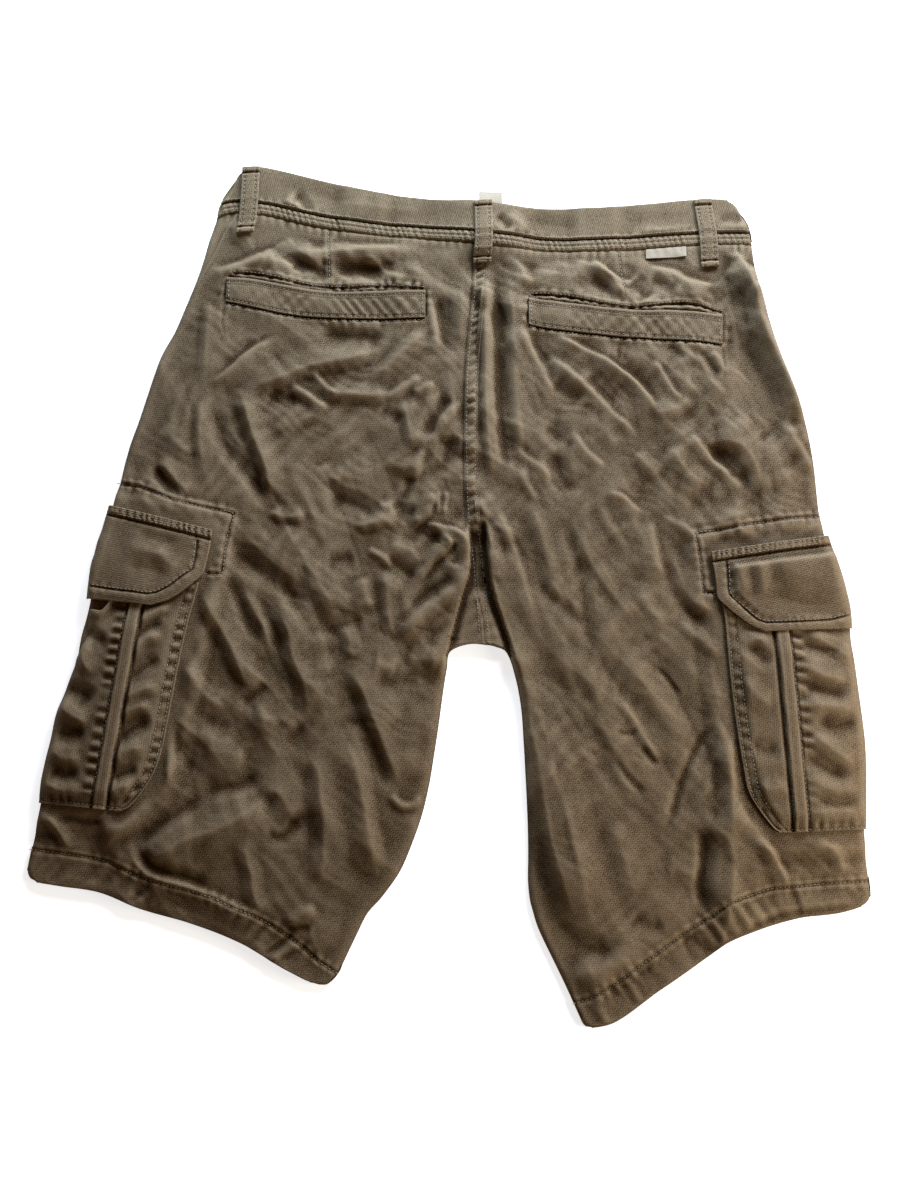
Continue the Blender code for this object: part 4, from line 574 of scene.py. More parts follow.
# --- Shape of the cargo pockets and flaps ---------------------------------------------------------
POCKET_FEET = {
    # the pockets' foot edges in plan
    -1: ((-318.0, -175.5), (-290.0, -178.5), (-270.0, -180.5), (-253.0, -182.5), (-246.0, -179.0),
         (-237.0, -168.0), (-228.0, -152.0), (-223.0, -136.0)),
    1: ((323.0, -196.0), (305.0, -198.0), (290.0, -198.5), (270.0, -198.5), (254.5, -198.5),
        (249.5, -194.5), (239.5, -181.0), (232.0, -167.0), (229.0, -150.0)),
}
POCKET_FOLDS = {
    # height, left, right, crest, points
    -1: (
        (2.4, 4, 3, 2, ((-246, -40), (-234, -30), (-216, -22))),
        (2.6, 4, 4, 2, ((-250, -66), (-238, -50), (-222, -46))),
        (-2.2, 4, 4, 2, ((-248, -52), (-236, -42), (-222, -36))),
        (-2.4, 5, 4, 2, ((-252, -84), (-238, -72), (-224, -64))),
        (2.6, 4, 4, 2, ((-256, -100), (-240, -90), (-224, -86))),
        (-3.0, 6, 5, 3, ((-260, -132), (-246, -120), (-228, -112))),
        (2.4, 4, 4, 2, ((-258, -112), (-244, -104), (-228, -102))),
        (2.8, 5, 5, 2, ((-262, -148), (-248, -136), (-232, -134))),
        (-2.0, 4, 4, 2, ((-262, -160), (-250, -154), (-238, -150))),
        (2.2, 5, 4, 3, ((-262, -172), (-252, -164), (-242, -166))),
        (3.0, 6, 4, 3, ((-294, -44), (-288, -64), (-276, -80))),
        (-2.6, 5, 5, 3, ((-288, -40), (-276, -50), (-266, -48))),
        (-3.2, 6, 6, 3, ((-304, -86), (-288, -92), (-276, -100))),
        (3.0, 6, 5, 2, ((-308, -98), (-294, -108), (-278, -116))),
        (-2.6, 5, 5, 3, ((-310, -122), (-294, -124), (-280, -122))),
        (2.6, 6, 5, 3, ((-312, -132), (-298, -142), (-282, -140))),
        (-2.2, 5, 5, 3, ((-312, -150), (-298, -156), (-284, -152))),
        (2.2, 6, 4, 3, ((-314, -160), (-298, -168), (-280, -166))),
    ),
    1: (
        (-2.6, 5, 4, 3, ((224, -50), (238, -58), (254, -72))),
        (2.4, 5, 4, 2, ((226, -58), (240, -50), (254, -52))),
        (2.2, 6, 6, 3, ((228, -78), (240, -94), (254, -104))),
        (-1.8, 6, 5, 3, ((232, -128), (244, -136), (258, -134))),
        (1.8, 6, 5, 3, ((236, -160), (248, -166), (262, -160))),
        (-3.2, 5, 5, 3, ((270, -52), (290, -56), (316, -60))),
        (3.0, 5, 4, 2, ((280, -46), (300, -54), (318, -66))),
        (2.8, 6, 5, 3, ((274, -66), (292, -78), (314, -82))),
        (-3.4, 6, 6, 3, ((272, -84), (290, -90), (316, -94))),
        (3.0, 8, 6, 3, ((276, -104), (296, -100), (320, -106))),
        (-2.8, 6, 6, 3, ((284, -112), (302, -118), (322, -112))),
        (2.8, 6, 5, 3, ((278, -120), (296, -134), (318, -150))),
        (-2.4, 5, 5, 3, ((274, -138), (290, -150), (312, -158))),
        (2.2, 6, 6, 3, ((276, -158), (296, -166), (320, -164))),
        (-1.8, 5, 5, 3, ((280, -172), (298, -178), (320, -174))),
        (1.8, 5, 5, 3, ((276, -184), (296, -182), (318, -184))),
    ),
}
FLAP_BAND = 6.6  # depth of a flap's stitched top band
FLAP_BORDERS = {
    -1: ((-283, -7), (-265, -10), (-250, -12), (-237, -14), (-230, -13), (-220, -8), (-210, 0),
         (-202, 6), (-200, 16), (-199, 28)),
    1: ((316, -30), (300, -34), (270, -36), (249, -36.5), (242, -34), (235, -28), (221, -14),
        (220.5, -2), (220, 12)),
}
FLAP_FOLDS = {
    -1: (
        (1.6, 8, 8, 4, ((-262, 28), (-240, 22), (-216, 12))),
        (-1.6, 7, 7, 4, ((-256, 8), (-236, 6), (-218, 2))),
        (1.4, 5, 5, 3, ((-232, 26), (-222, 12), (-208, 6))),
        (-1.2, 5, 5, 3, ((-248, 36), (-232, 30), (-212, 26))),
    ),
    1: (
        (1.2, 4, 4, 2, ((226, 16), (230, 2), (235, -16))),
        (-1.0, 4, 4, 2, ((234, 16), (238, 0), (241, -24))),
        (1.3, 4, 4, 2, ((242, 18), (246, 2), (249, -20))),
        (-1.0, 4, 4, 2, ((252, 18), (256, 4), (258, -10))),
        (-2.8, 13, 9, 4, ((244, -10), (258, -15), (280, -21), (308, -20))),
        (5.4, 6, 26, 4, ((200, 6), (226, 8), (256, 11), (284, 14), (322, 18), (344, 20))),
        (0.8, 8, 12, 4, ((256, 6), (280, 0), (306, -4))),
    ),
}

# --- How edges turn and stitches lie --------------------------------------------------------------
ON_EDGE = 1e-4  # just past an edge, so that it's clear to which side a point belongs
FAR_OFF = 100.0  # stands for any distance too great to matter
PAST_EDGE = 30.0  # how far an outline is carried on round the side edge
UNDER_BAND = 1.5  # how far a panel's top edge reaches under the band
HEM_TURN = ((0.5, 0.15), (0.87, 0.5), (1.0, 1.0), (0.6, 1.75), (0.0, 2.0))  # out, up
BAND_TURN = ((0.38, 0.1), (0.7, 0.35), (0.92, 0.7), (1.0, 1.1), (0.92, 1.5), (0.7, 1.85), (0.0, 2.2))
STITCH_RISE = 0.12  # from the cloth to the middle of a stitch
THREAD_SIDES = 5
THREAD_RINGS = (
    # share of the stitch's length, width and rise in thread radii
    (0.0, 0.45, -0.5), (0.2, 1.0, 0.35), (0.8, 1.0, 0.35), (1.0, 0.45, -0.5),
)

# --- Finishes, lights and camera ------------------------------------------------------------------
CLOTHS = {
    # name: brightness of the dye, rib spacing in mm, lean in degrees
    "back cloth": (1.0, 2.1, 52.0),
    "front cloth": (0.95, 2.1, 52.0),
    "band cloth": (1.06, 2.1, 20.0),
    "loop cloth": (1.08, 2.0, 52.0),
    "welt cloth": (1.0, 2.1, 30.0),
    "pocket cloth": (0.98, 2.1, 40.0),
    "flap cloth": (1.03, 2.1, 65.0),
}
THREAD_FINISH = (900.0, 0.7, 0.2, False)  # scale of the mottle, roughness, relief, whether it is woven
SMALL_FINISHES = {
    # name: dark colour, pale colour, and the same four
    "label ribbon": ((0.172, 0.134, 0.086), (0.305, 0.241, 0.157), 700.0, 0.8, 0.25, True),
    "horn": ((0.03, 0.02, 0.012), (0.16, 0.11, 0.06), 140.0, 0.35, 0.05, False),
}
LAMPS = (
    # name, setting of its power, width, depth, place and target in metres, colour
    ("key light", "key_power", 0.7, 0.7, (0.95, 1.5, 0.8), (0.0, 0.0, 0.0), (0.96, 1.0, 1.18)),
    ("window light", "window_power", 0.9, 0.12, (0.05, 0.62, 0.19), (0.0, 0.25, 0.0), (0.7, 0.95, 1.24)),
    ("fill light", "fill_power", 0.3, 0.3, (0.78, -0.36, 0.26), (0.15, -0.25, 0.0), (1.0, 0.92, 0.8)),
)
CAMERA_TILT = math.radians(8.0)
CAMERA_MIDDLE = (0.0008 + TO_FRAME[0] * MM, -0.0164 + TO_FRAME[1] * MM)  # what it looks at, in metres


# --- Small functions ------------------------------------------------------------------------------
def ease(t):
    """0 below 0, 1 above 1, and a smooth step between."""
    t = np.clip(t, 0.0, 1.0)
    return t * t * (3.0 - 2.0 * t)


def mix(a, b, t):
    """From a to b at a share t of the way."""
    return a + (b - a) * t


def bell(distance, width):
    """1 at no distance, and nearly 0 past twice the width."""
    return np.exp(-((distance / width) ** 2))


def curve(table, x):
    """The second column of a table at x, along a smooth curve through its rows."""
    xs, ys = np.array(sorted(table), float).T
    slopes = np.empty_like(xs)
    slopes[1:-1] = (ys[2:] - ys[:-2]) / (xs[2:] - xs[:-2])
    slopes[0] = (ys[1] - ys[0]) / (xs[1] - xs[0])
    slopes[-1] = (ys[-1] - ys[-2]) / (xs[-1] - xs[-2])
    x = np.clip(x, xs[0], xs[-1])
    i = np.clip(np.searchsorted(xs, x, side="right") - 1, 0, len(xs) - 2)
    span = xs[i + 1] - xs[i]
    t = (x - xs[i]) / span
    start = ys[i] * (1 + 2 * t) * (1 - t) ** 2 + slopes[i] * span * t * (1 - t) ** 2
    return start + ys[i + 1] * t * t * (3 - 2 * t) + slopes[i + 1] * span * t * t * (t - 1)


def smooth_path(points, steps=6):
    """A chain of points along a smooth curve through the given ones."""
    points = np.array(points, float)
    at = np.concatenate([[0.0], np.cumsum(np.hypot(*np.diff(points, axis=0).T))])
    fine = np.linspace(0.0, at[-1], steps * (len(points) - 1) + 1)
    return np.column_stack([curve(list(zip(at, points[:, k])), fine) for k in (0, 1)])


def near_path(points, x, y):
    """Distance from a chain of points, side of it (1 to the left), length along it, whole length."""
    points = np.asarray(points, float)
    best = np.full(np.shape(x), np.inf)
    side = np.zeros_like(best)
    along = np.zeros_like(best)
    before = 0.0
    for (x0, y0), (x1, y1) in zip(points[:-1], points[1:]):
        dx, dy = x1 - x0, y1 - y0
        length = math.hypot(dx, dy)
        if length == 0.0:
            continue
        t = np.clip(((x - x0) * dx + (y - y0) * dy) / length**2, 0.0, 1.0)
        away = np.hypot(x - x0 - dx * t, y - y0 - dy * t)
        nearer = away < best
        best = np.where(nearer, away, best)
        side = np.where(nearer, np.sign(dx * (y - y0) - dy * (x - x0)), side)
        along = np.where(nearer, before + t * length, along)
        before += length
    return best, side, along, before


def box_round(points, reach, x, y):
    """Which of the points (x, y) lie in the upright box round a chain, widened by a reach."""
    low, high = points.min(axis=0) - reach, points.max(axis=0) + reach
    return (x > low[0]) & (x < high[0]) & (y > low[1]) & (y < high[1])


def cloudy(x, y, spacing, seed, turn=0.6):
    """Smooth noise from -1 to 1, with hills about that far apart."""
    lattice = np.random.default_rng(seed).uniform(-1.0, 1.0, (64, 64))
    u = (x * math.cos(turn) + y * math.sin(turn)) / spacing
    v = (y * math.cos(turn) - x * math.sin(turn)) / spacing
    i, j = np.floor(u).astype(int), np.floor(v).astype(int)
    fu, fv = ease(u - i), ease(v - j)
    low = mix(lattice[i % 64, j % 64], lattice[(i + 1) % 64, j % 64], fu)
    high = mix(lattice[i % 64, (j + 1) % 64], lattice[(i + 1) % 64, (j + 1) % 64], fu)
    return mix(low, high, fv)


def waver(s, spacing, seed):
    """Gathers along a seam: uneven waves of about that spacing, from -1 to 1."""
    slow = 1.3 * cloudy(s, 0.0 * s, spacing * 2.7, seed)
    drift = slow + 0.8 * cloudy(s, 0.0 * s, spacing * 1.3, seed + 1)
    strength = 0.65 + 0.65 * cloudy(s, 0.0 * s, spacing * 2.1, seed + 2)
    return strength * np.sin(2 * math.pi * s / spacing + 1.6 * drift)


def patch_mask(x, y, centre_x, centre_y, half_x, half_y, fade):
    """1 in an upright patch of the plan, fading to 0 over a margin round it."""
    out_x = np.maximum(np.abs(x - centre_x) - half_x, 0.0)
    out_y = np.maximum(np.abs(y - centre_y) - half_y, 0.0)
    return 1.0 - ease(np.hypot(out_x, out_y) / fade)


def outside_by(outline, x, y):
    """Distance from each (x, y) to a closed outline, 0 inside it."""
    inside = np.zeros(np.shape(x), bool)
    for (x0, y0), (x1, y1) in zip(outline, outline[1:] + outline[:1]):
        if y0 == y1:
            continue
        crosses = (y0 > y) != (y1 > y)
        inside ^= crosses & (x < mix(x0, x1, (y - y0) / (y1 - y0)))
    away = near_path(outline + outline[:1], x, y)[0]
    return np.where(inside, 0.0, away)


# --- Where pockets, flaps and welts lie -----------------------------------------------------------
def side_edge(side):
    """A leg's side edge as a table of x at y."""
    return [(row[1], row[0]) for row in LEGS[side]]


def patch_outline(side, table):
    """Outline of a pocket or flap, carried on past the side edge that it wraps round."""
    edge = side_edge(side)
    inner = [(row[1], row[2]) for row in table]
    beyond = [(float(curve(edge, row[0])) + side * PAST_EDGE, row[0]) for row in table]
    return inner + beyond[::-1]


def welt_outline(table):
    """Outline of a welt."""
    return [(x, top) for x, top, _ in table] + [(x, bottom) for x, _, bottom in reversed(table)]


PATCHES = {side: [patch_outline(side, table[side]) for table in (POCKETS, FLAPS)] for side in (-1, 1)}
WELTS = (welt_outline(LEFT_WELT), welt_outline(RIGHT_WELT))


def off_patches(x, y):
    """How far each point lies outside the nearest cargo pocket or flap."""
    away = np.full(np.shape(x), FAR_OFF)
    for side, outlines in PATCHES.items():
        near = (x * side > 150.0) & (y > -240.0) & (y < 110.0)
        if near.any():
            away[near] = np.minimum(*[outside_by(outline, x[near], y[near]) for outline in outlines])
    return away


def off_welts(x, y):
    """How far each point lies outside the nearest welt."""
    away = np.full(np.shape(x), FAR_OFF)
    near = (y > 170.0) & (y < 280.0)
    if near.any():
        away[near] = np.minimum(*[outside_by(outline, x[near], y[near]) for outline in WELTS])
    return away


def lift(x, y, away=None):
    """How far the front layer stands off the surface, over what lies beneath it."""
    if away is None:
        away = off_patches(x, y)
    high = 1.0 - ease((away - 12.0) / 14.0)
    return high * 2.0 * POCKET_LIFT + sum(thick * patch_mask(x, y, *place) for *place, thick in PADS)


def lap_lift(x, y):
    """How far the lapped ends of the band raise what lies over them."""
    return LAP_LIFT * patch_mask(x, y, LAP_X, 297.0, FRONT_LAP + 5.0, 22.0, 26.0)


# --- Heights of the back layer --------------------------------------------------------------------
def back_outline():
    """The back's outline: waist seam, right side, right leg, crotch, left leg and left side."""
    right = [(row[0], row[1]) for row in RIGHT_ROWS] + list(RIGHT_HEM)
    inside_right = [(row[2], row[3]) for row in RIGHT_ROWS[:SEAT_ROWS - 2:-1]]
    inside_left = [(row[2], row[3]) for row in LEFT_ROWS[SEAT_ROWS - 1:]]
    left = list(LEFT_HEM[::-1]) + [(row[0], row[1]) for row in LEFT_ROWS[::-1]]
    return list(WAIST_SEAM) + right + inside_right + inside_left + left


BACK_OUTLINE = back_outline()


def swell(x, y):
    """Broad, low rise of the back off the front, none along the outline."""
    away = near_path(BACK_OUTLINE, x, y)[0]
    return SWELL * ease((away - 3.0) / 42.0)


def settled(height):
    """The height, held softly at or above nothing."""
    return 0.5 * (height + np.hypot(height, 1.0)) - 0.1


def tent(away, width, crest):
    """1 on a fold's line and 0 past its flank, nearly straight between, with a round top and foot."""
    rounded = np.hypot(away, 0.4 * crest) - 0.4 * crest
    down = 1.0 - rounded / width
    return 0.5 * (down + np.hypot(down, 0.15)) - 0.005


def with_paths(folds):
    """Folds with their points carried on along smooth paths."""
    return [(*shape, smooth_path(points)) for *shape, points in folds]


def one_fold(fold, x, y, fade, scale=1.0, spread=1.0):
    """A fold's scaled height: its ends fade over a share of its length, and its flanks are spread."""
    height, left, right, crest, path = fold
    away, to_left, along, length = near_path(path, x, y)
    share = along / length
    taper = ease(share / fade) * ease((1.0 - share) / fade)
    return scale * height * taper * tent(away, spread * np.where(to_left > 0, left, right), crest)


def local_folds(folds, x, y):
    """Height of the folds of a pocket or a flap."""
    total = np.zeros(np.shape(x))
    for fold in with_paths(folds):
        total += one_fold(fold, x, y, 0.3, 1.0, 1.7)
    return total


def creased(x, y, spacing, lean, seed):
    """Straight creases with flat flanks, about that far apart, running along the lean and fading out."""
    across = y * math.cos(lean) - x * math.sin(lean)
    turns = across / spacing + 0.8 * cloudy(x, y, 2.6 * spacing, seed)
    away = 2.0 * np.abs(turns - np.round(turns))
    strength = ease(0.45 + 0.9 * cloudy(x, y, 2.2 * spacing, seed + 1))
    return strength * (0.5 - np.hypot(away, 0.08))


BACK_FOLDS = with_paths(FOLDS)


def fold_height(x, y, settings):
    """Folds and small wrinkles of the back."""
    total = np.zeros(np.shape(x))
    for fold in BACK_FOLDS:
        box = box_round(fold[4], 1.8 * max(fold[1], fold[2]), x, y)
        if box.any():
            total[box] += one_fold(fold, x[box], y[box], 0.25, settings.fold_scale)
    # folds stand higher near the waist
    total *= 1.0 + 0.35 * ease((y - 180.0) / 40.0)
    calm = np.ones_like(total)
    for *place, share in CALM:
        calm -= share * patch_mask(x, y, *place)
    # small wrinkles, lower towards the hems
    small = settings.wrinkle / MM * (1.0 - 0.4 * ease((-110.0 - y) / 60.0))
    for height, spacing, lean, seed in CREASES:
        total += small * height * creased(x, y, spacing, lean, seed)
    return calm * total + small * (0.8 * cloudy(x, y, 12.0, 12, 1.9) + 0.25 * cloudy(x, y, 6.0, 13, 0.2))


def from_seat_seam(x, y):
    """Distance left of the seat seam's line."""
    return curve([(row[3], row[2]) for row in LEFT_ROWS[:SEAT_ROWS]], y) - x


def seat_lap(x, y):
    """Height of the felled lap of the seat seam: raised, with slanting gathers between its stitches."""
    off = from_seat_seam(x, y)
    lap = (0.35 + 0.65 * ease(off / 2.5)) * ease((SEAT_LAP + 1.0 - off) / 1.6)
    # gathers between the two lines of stitches
    middle = ease((off - 1.6) / 1.6) * ease((SEAT_LAP - 1.6 - off) / 1.6)
    rope = waver(y + 0.55 * off, 8.2, 31) * 1.2
    # grooves along the lap's edge and under the stitches
    edge = bell(off - SEAT_LAP - 0.8, 1.1)
    groove = edge + 0.7 * bell(off - SEAT_LAP + 1.6, 0.7) + 0.7 * bell(off - 1.6, 0.7)
    above = ease((y - 32.0) / 10.0)
    return above * (SEAT_RISE * lap + 0.75 * middle * rope - 0.55 * groove)


def panel_seams(x, y):
    """What seams, stitched lines and the gathers beside them add to the back."""
    total = np.zeros(np.shape(x))
    for index, (depth, half, points) in enumerate(PANEL_LINES):
        chain = np.array(points, float)
        box = box_round(chain, 14.0, x, y)
        if not box.any():
            continue
        away, _, along, length = near_path(chain, x[box], y[box])
        gathers = PUCKER * depth * waver(along, 8.6, 41 + index) * bell(away - 2.6, 3.2)
        ends = ease(along / 3.0) * ease((length - along) / 3.0)
        total[box] += ends * (gathers - depth * bell(away, half) + 0.35 * depth * bell(away - 2.6, 1.6))
    # gathers below the band
    below = curve(WAIST_SEAM, x) - y
    total += 0.5 * waver(x, 7.4, 71) * bell(below - 3.0, 4.0)
    # slanting gathers on the hems, strong in places
    for table, slant in ((LEFT_HEM, -0.8), (RIGHT_HEM, 0.6)):
        ends = sorted((table[0][0], table[-1][0]))
        above = y - curve(table, x)
        on_hem = (x > ends[0]) * (x < ends[1]) * ease(above / 5.0) * ease((27.0 - above) / 5.0)
        along = x + slant * y
        gathered = ease(0.3 + 1.5 * cloudy(x, y, 38.0, 76))
        total += on_hem * (0.25 * waver(along, 19.0, 73) + 0.5 * gathered * waver(along, 12.5, 75))
    return total


def forked(x, y, height):
    """The height with the legs standing off as lobes beside the crotch, and a tongue between them."""
    near = (x > -45.0) & (x < 90.0) & (y > -90.0) & (y < 80.0)
    if not near.any():
        return height
    x, y, lobes = x[near], y[near], height[near]
    out = outside_by(FORK, x, y)
    depth = np.where(out > 0, 0.0, near_path(FORK + FORK[:1], x, y)[0])
    # both begin below the seat and fade in downwards
    here = ease((52.0 - y) / 24.0)
    lobes = lobes + LOBE_RISE * here * ease((y + 88.0) / 24.0) * (1.0 - ease((out - 2.0) / 30.0))
    from_seam = near_path(TONGUE_SEAM, x, y)[0]
    tongue = 0.5 + 2.4 * ease((-4.0 - y) / 12.0) * ease(depth / 7.0) + 0.5 * creased(x, y, 11.0, 0.5, 135)
    tongue += 0.5 * bell(from_seam - 1.4, 1.2) - 0.5 * bell(from_seam, 0.7)
    height = height.copy()
    height[near] = mix(lobes, mix(lobes, tongue, here), 1.0 - ease(out / 2.4))
    return height


def back_top(side, x, y, settings):
    """Height of the back layer's upper face, with its folds held down by pockets, welts and the band."""
    off_patch = off_patches(x, y)
    # how firmly a pocket or flap, a welt and the band hold the cloth down
    held = 1.0 - ease((off_patch - 1.5) / 11.0)
    held = np.maximum(held, 0.55 * (1.0 - ease(off_welts(x, y) / 7.0)))
    held = np.maximum(held, 0.9 * (1.0 - ease((curve(WAIST_SEAM, x) - y - 1.0) / 13.0)))
    height = BACK_TOP + lift(x, y, off_patch) + lap_lift(x, y) + PUFF
    folds = settled(swell(x, y) + (1.0 - held) * fold_height(x, y, settings))
    height += forked(x, y, folds) + panel_seams(x, y)
    if side < 0:
        height += seat_lap(x, y)
    return height


# --- Sections of the legs -------------------------------------------------------------------------
class Sections:
    """Sections of a leg or of a piece on it, one a row, closely spaced."""

    def __init__(self, side, rows, inner_roll, bends):
        self.side = side
        self.side_x, self.side_y, self.inner_x, self.inner_y = (rows[:, k:k + 1] for k in range(4))
        self.inner_roll = inner_roll
        self.bends = bends  # whether they follow the waist seam and the hem
        self.width = np.hypot(self.inner_x - self.side_x, self.inner_y - self.side_y)
        self.full = self.width + (math.pi / 2 - 1) * (ROLL + inner_roll)

    def plan(self, share):
        """Plan of the points at shares of the way from the side edge to the inner one."""
        x = mix(self.side_x, self.inner_x, share)
        y = mix(self.side_y, self.inner_y, share)
        if not self.bends:
            return x, y
        table = LEGS[self.side]
        for edge, first, reach in ((WAIST_SEAM, table[0], 90.0), (HEMS[self.side], table[-1], 80.0)):
            held = 1.0 - ease(np.abs(self.side_y - first[1]) / reach)
            straight = mix(first[1], first[3], (x - first[0]) / (first[2] - first[0]))
            y = y + held * (curve(edge, x) - straight)
        return x, y

    def skin(self, path, top, out=0.0):
        """Points at lengths from the side edge: over the top where positive, beneath where negative."""
        length = np.abs(path)
        distance, roll = rolled(length, ROLL)
        distance = distance - out * np.sqrt(1.0 - roll**2)
        far, far_roll = rolled(np.maximum(self.full - length, 0.0), self.inner_roll)
        inner = far_roll < 1.0
        distance = np.where(inner, self.width - far, distance)
        roll = np.where(inner, far_roll, roll)
        x, y = self.plan(distance / self.width)
        raised = lift(x, y)
        middle = SIDE_SEAM_Z + raised
        upper = middle + (top(x, y) - middle) * roll
        lower = middle - (middle - raised + out) * roll
        return np.stack([x, y, np.where(path > 0, upper, lower)], axis=-1)


def nowhere(x, y):
    """No height, for paths that only run beneath or whose plan alone counts."""
    return 0.0 * x


def rolled(path, radius):
    """(inward distance, roll) at a length from an edge of that radius: roll is 0 on it, 1 past it."""
    radius = np.maximum(radius, 1e-6)
    quarter = radius * math.pi / 2
    angle = np.minimum(path / radius, math.pi / 2)
    past = (path >= quarter) | (radius < 1e-3)
    inward = np.where(past, path - quarter + radius, radius * (1 - np.cos(angle)))
    return inward, np.where(past, 1.0, np.sin(angle))


def closely(rows, spacing):
    """Rows of a table at close, even spacing, with each row's place in the table in a last column."""
    rows = np.array(rows, float)
    half = rows.shape[1] // 2
    steps = sum(np.hypot(np.diff(rows[:, 2 * k]), np.diff(rows[:, 2 * k + 1])) for k in range(half)) / half
    at = np.concatenate([[0.0], np.cumsum(steps)])
    fine = np.linspace(0.0, at[-1], int(round(at[-1] / spacing)) + 1)
    columns = [curve(list(zip(at, rows[:, k])), fine) for k in range(rows.shape[1])]
    return np.column_stack(columns + [np.interp(fine, at, np.arange(len(rows)))])


def round_corners(rows, side):
    """Draws in the ends of the last rows, so that the hem's corners are round."""
    side_x, side_y, inner_x, inner_y = LEGS[side][-1]
    slope = (inner_y - side_y) / (inner_x - side_x)
    outer, inner = HEM_CORNERS[side]
    for column, way, radius in ((0, -side, outer), (2, side, inner)):
        above = np.hypot(*(rows[:, column:column + 2] - rows[-1, column:column + 2]).T)
        inward = way * (radius - np.sqrt(radius**2 - np.maximum(radius - above, 0.0) ** 2))
        rows[:, column] += inward
        rows[:, column + 1] += slope * inward


def leg_sections(side, spacing):
    """A leg's sections, how far its side seam turns onto the back, and which rows are the seat's."""
    table = LEGS[side]
    seat = closely(table[:SEAT_ROWS], spacing)
    leg = closely(table[SEAT_ROWS - 1:], spacing)
    leg[:, 4] += SEAT_ROWS - 1
    rows = np.vstack([seat, leg[1:]])
    round_corners(rows, side)
    index = rows[:, 4:5]
    on_seat = index <= SEAT_ROWS - 1
    inner_roll = np.where(on_seat, 0.0, mix(CROTCH_ROLL, ROLL, ease((index - SEAT_ROWS) / 3.0)))
    turn = curve(SIDE_SEAM_TURN, rows[:, 1:2]) if side < 0 else 0.0 * index
    return Sections(side, rows, inner_roll, True), turn, on_seat[:, 0]


def patch_sections(side, table, spacing):
    """Sections of a pocket or flap."""
    edge = side_edge(side)
    rows = [(float(curve(edge, side_y)), side_y, inner_x, inner_y) for side_y, inner_x, inner_y in table]
    fine = closely(rows, spacing)
    fine[:, 0] = curve(edge, fine[:, 1])
    return Sections(side, fine, np.zeros((len(fine), 1)), False)


# --- Meshes ---------------------------------------------------------------------------------------
def level_way(start, end):
    """Unit directions in plan from some points to others."""
    way = end - start
    way[:, 2] = 0.0
    return way / np.maximum(np.linalg.norm(way, axis=1, keepdims=True), 1e-6)


def turned_edge(grid, radius, drop, end="last"):
    """The grid with its last (or first) row carried on round a thin edge and down."""
    if end == "first":
        return turned_edge(grid[::-1], radius, drop)[::-1]
    away = level_way(grid[-2], grid[-1])
    rows = [grid[-1] + away * radius * a - UP * b
            for a, b in ((0.5, 0.13 * radius), (0.87, 0.5 * radius), (1.0, radius), (0.9, radius + drop))]
    return np.concatenate([grid, np.array(rows)])


def turned_side(grid, radius, drop, end="last"):
    """The same for the last (or first) column."""
    return turned_edge(grid.transpose(1, 0, 2), radius, drop, end).transpose(1, 0, 2)


def turned_sides(grid, radius, drop):
    """The grid with both its side columns carried on."""
    return turned_side(turned_side(grid, radius, drop), radius, drop, "first")


def turned_ends(grid, radius, drop):
    """The grid with both its end rows carried on."""
    return turned_edge(turned_edge(grid, radius, drop), radius, drop, "first")


def above_mean(z, span):
    """How far each height lies above the mean of those up to that many rows and columns away."""
    padded = np.pad(z, span, mode="edge")
    total = np.pad(padded.cumsum(axis=0).cumsum(axis=1), ((1, 0), (1, 0)))
    wide = 2 * span + 1
    square = total[wide:, wide:] - total[:-wide, wide:] - total[wide:, :-wide] + total[:-wide, :-wide]
    return z - square / wide**2


def rub_and_painted_light_from(grid):
    """How pale each point is on crests (wear, painted highlight) or dark in creases (painted shade): about 1
    to -2.
    """
    z = grid[..., 2]
    # the narrow term pales crests (wear and a painted highlight) and darkens creases (painted shade); the
    # broad term darkens wide hollows as painted shade
    return np.clip(above_mean(z, 3) / 0.45, -1.0, 1.0) + np.clip(above_mean(z, 9) / 2.6, -0.9, 0.3)


def placed(points):
    """Points of the plan, in millimetres, set in the frame of the part."""
    return ((points + np.array([*TO_FRAME, 0.0])) * MM).tolist()


def cloth_mesh(name, grids, flips):
    """One mesh from grids of points, shaded smooth, with each point's wear, painted highlight and painted
    shade.
    """
    points, faces, worn, first = [], [], [], 0
    for grid, flip in zip(grids, flips):
        rows, columns = grid.shape[:2]
        index = np.arange(rows * columns).reshape(rows, columns) + first
        corners = [index[:-1, :-1], index[1:, :-1], index[1:, 1:], index[:-1, 1:]]
        quads = np.stack(corners, axis=-1).reshape(-1, 4)
        faces.append(quads[:, ::-1] if flip else quads)
        points.append(grid.reshape(-1, 3))
        worn.append(rub_and_painted_light_from(grid).ravel())
        first += rows * columns
    points = np.concatenate(points)
    points[:, 2] = np.maximum(points[:, 2], 0.0)
    mesh = bpy.data.meshes.new(name)
    mesh.from_pydata(placed(points), [], np.concatenate(faces).tolist())
    # this attribute carries paler crests (wear and a painted highlight) and darker creases and hollows
    # (painted shade)
    layer = mesh.attributes.new("worn", "FLOAT", "POINT")
    layer.data.foreach_set("value", np.concatenate(worn).astype(np.float32))
    mesh.shade_smooth()
    return mesh


def add_piece(name, mesh, material, nodes=()):
    """A piece on the garment's body, in its material, which stands for the given solids."""
    old = bpy.data.objects.get(name)
    if old is not None and "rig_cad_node" not in old:
        bpy.data.objects.remove(old, do_unlink=True)
    piece = bpy.data.objects.new(name, mesh)
    bpy.context.scene.collection.objects.link(piece)
    mesh.materials.clear()
    mesh.materials.append(material)
    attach(piece, BODY)
    if nodes:
        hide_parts(*nodes)
    return piece


def add_cloth(name, grids, flips, cloth, node):
    """A piece of cloth made from grids, which stands for one solid."""
    return add_piece(name, cloth_mesh(name, grids, flips), finish(cloth), [node])


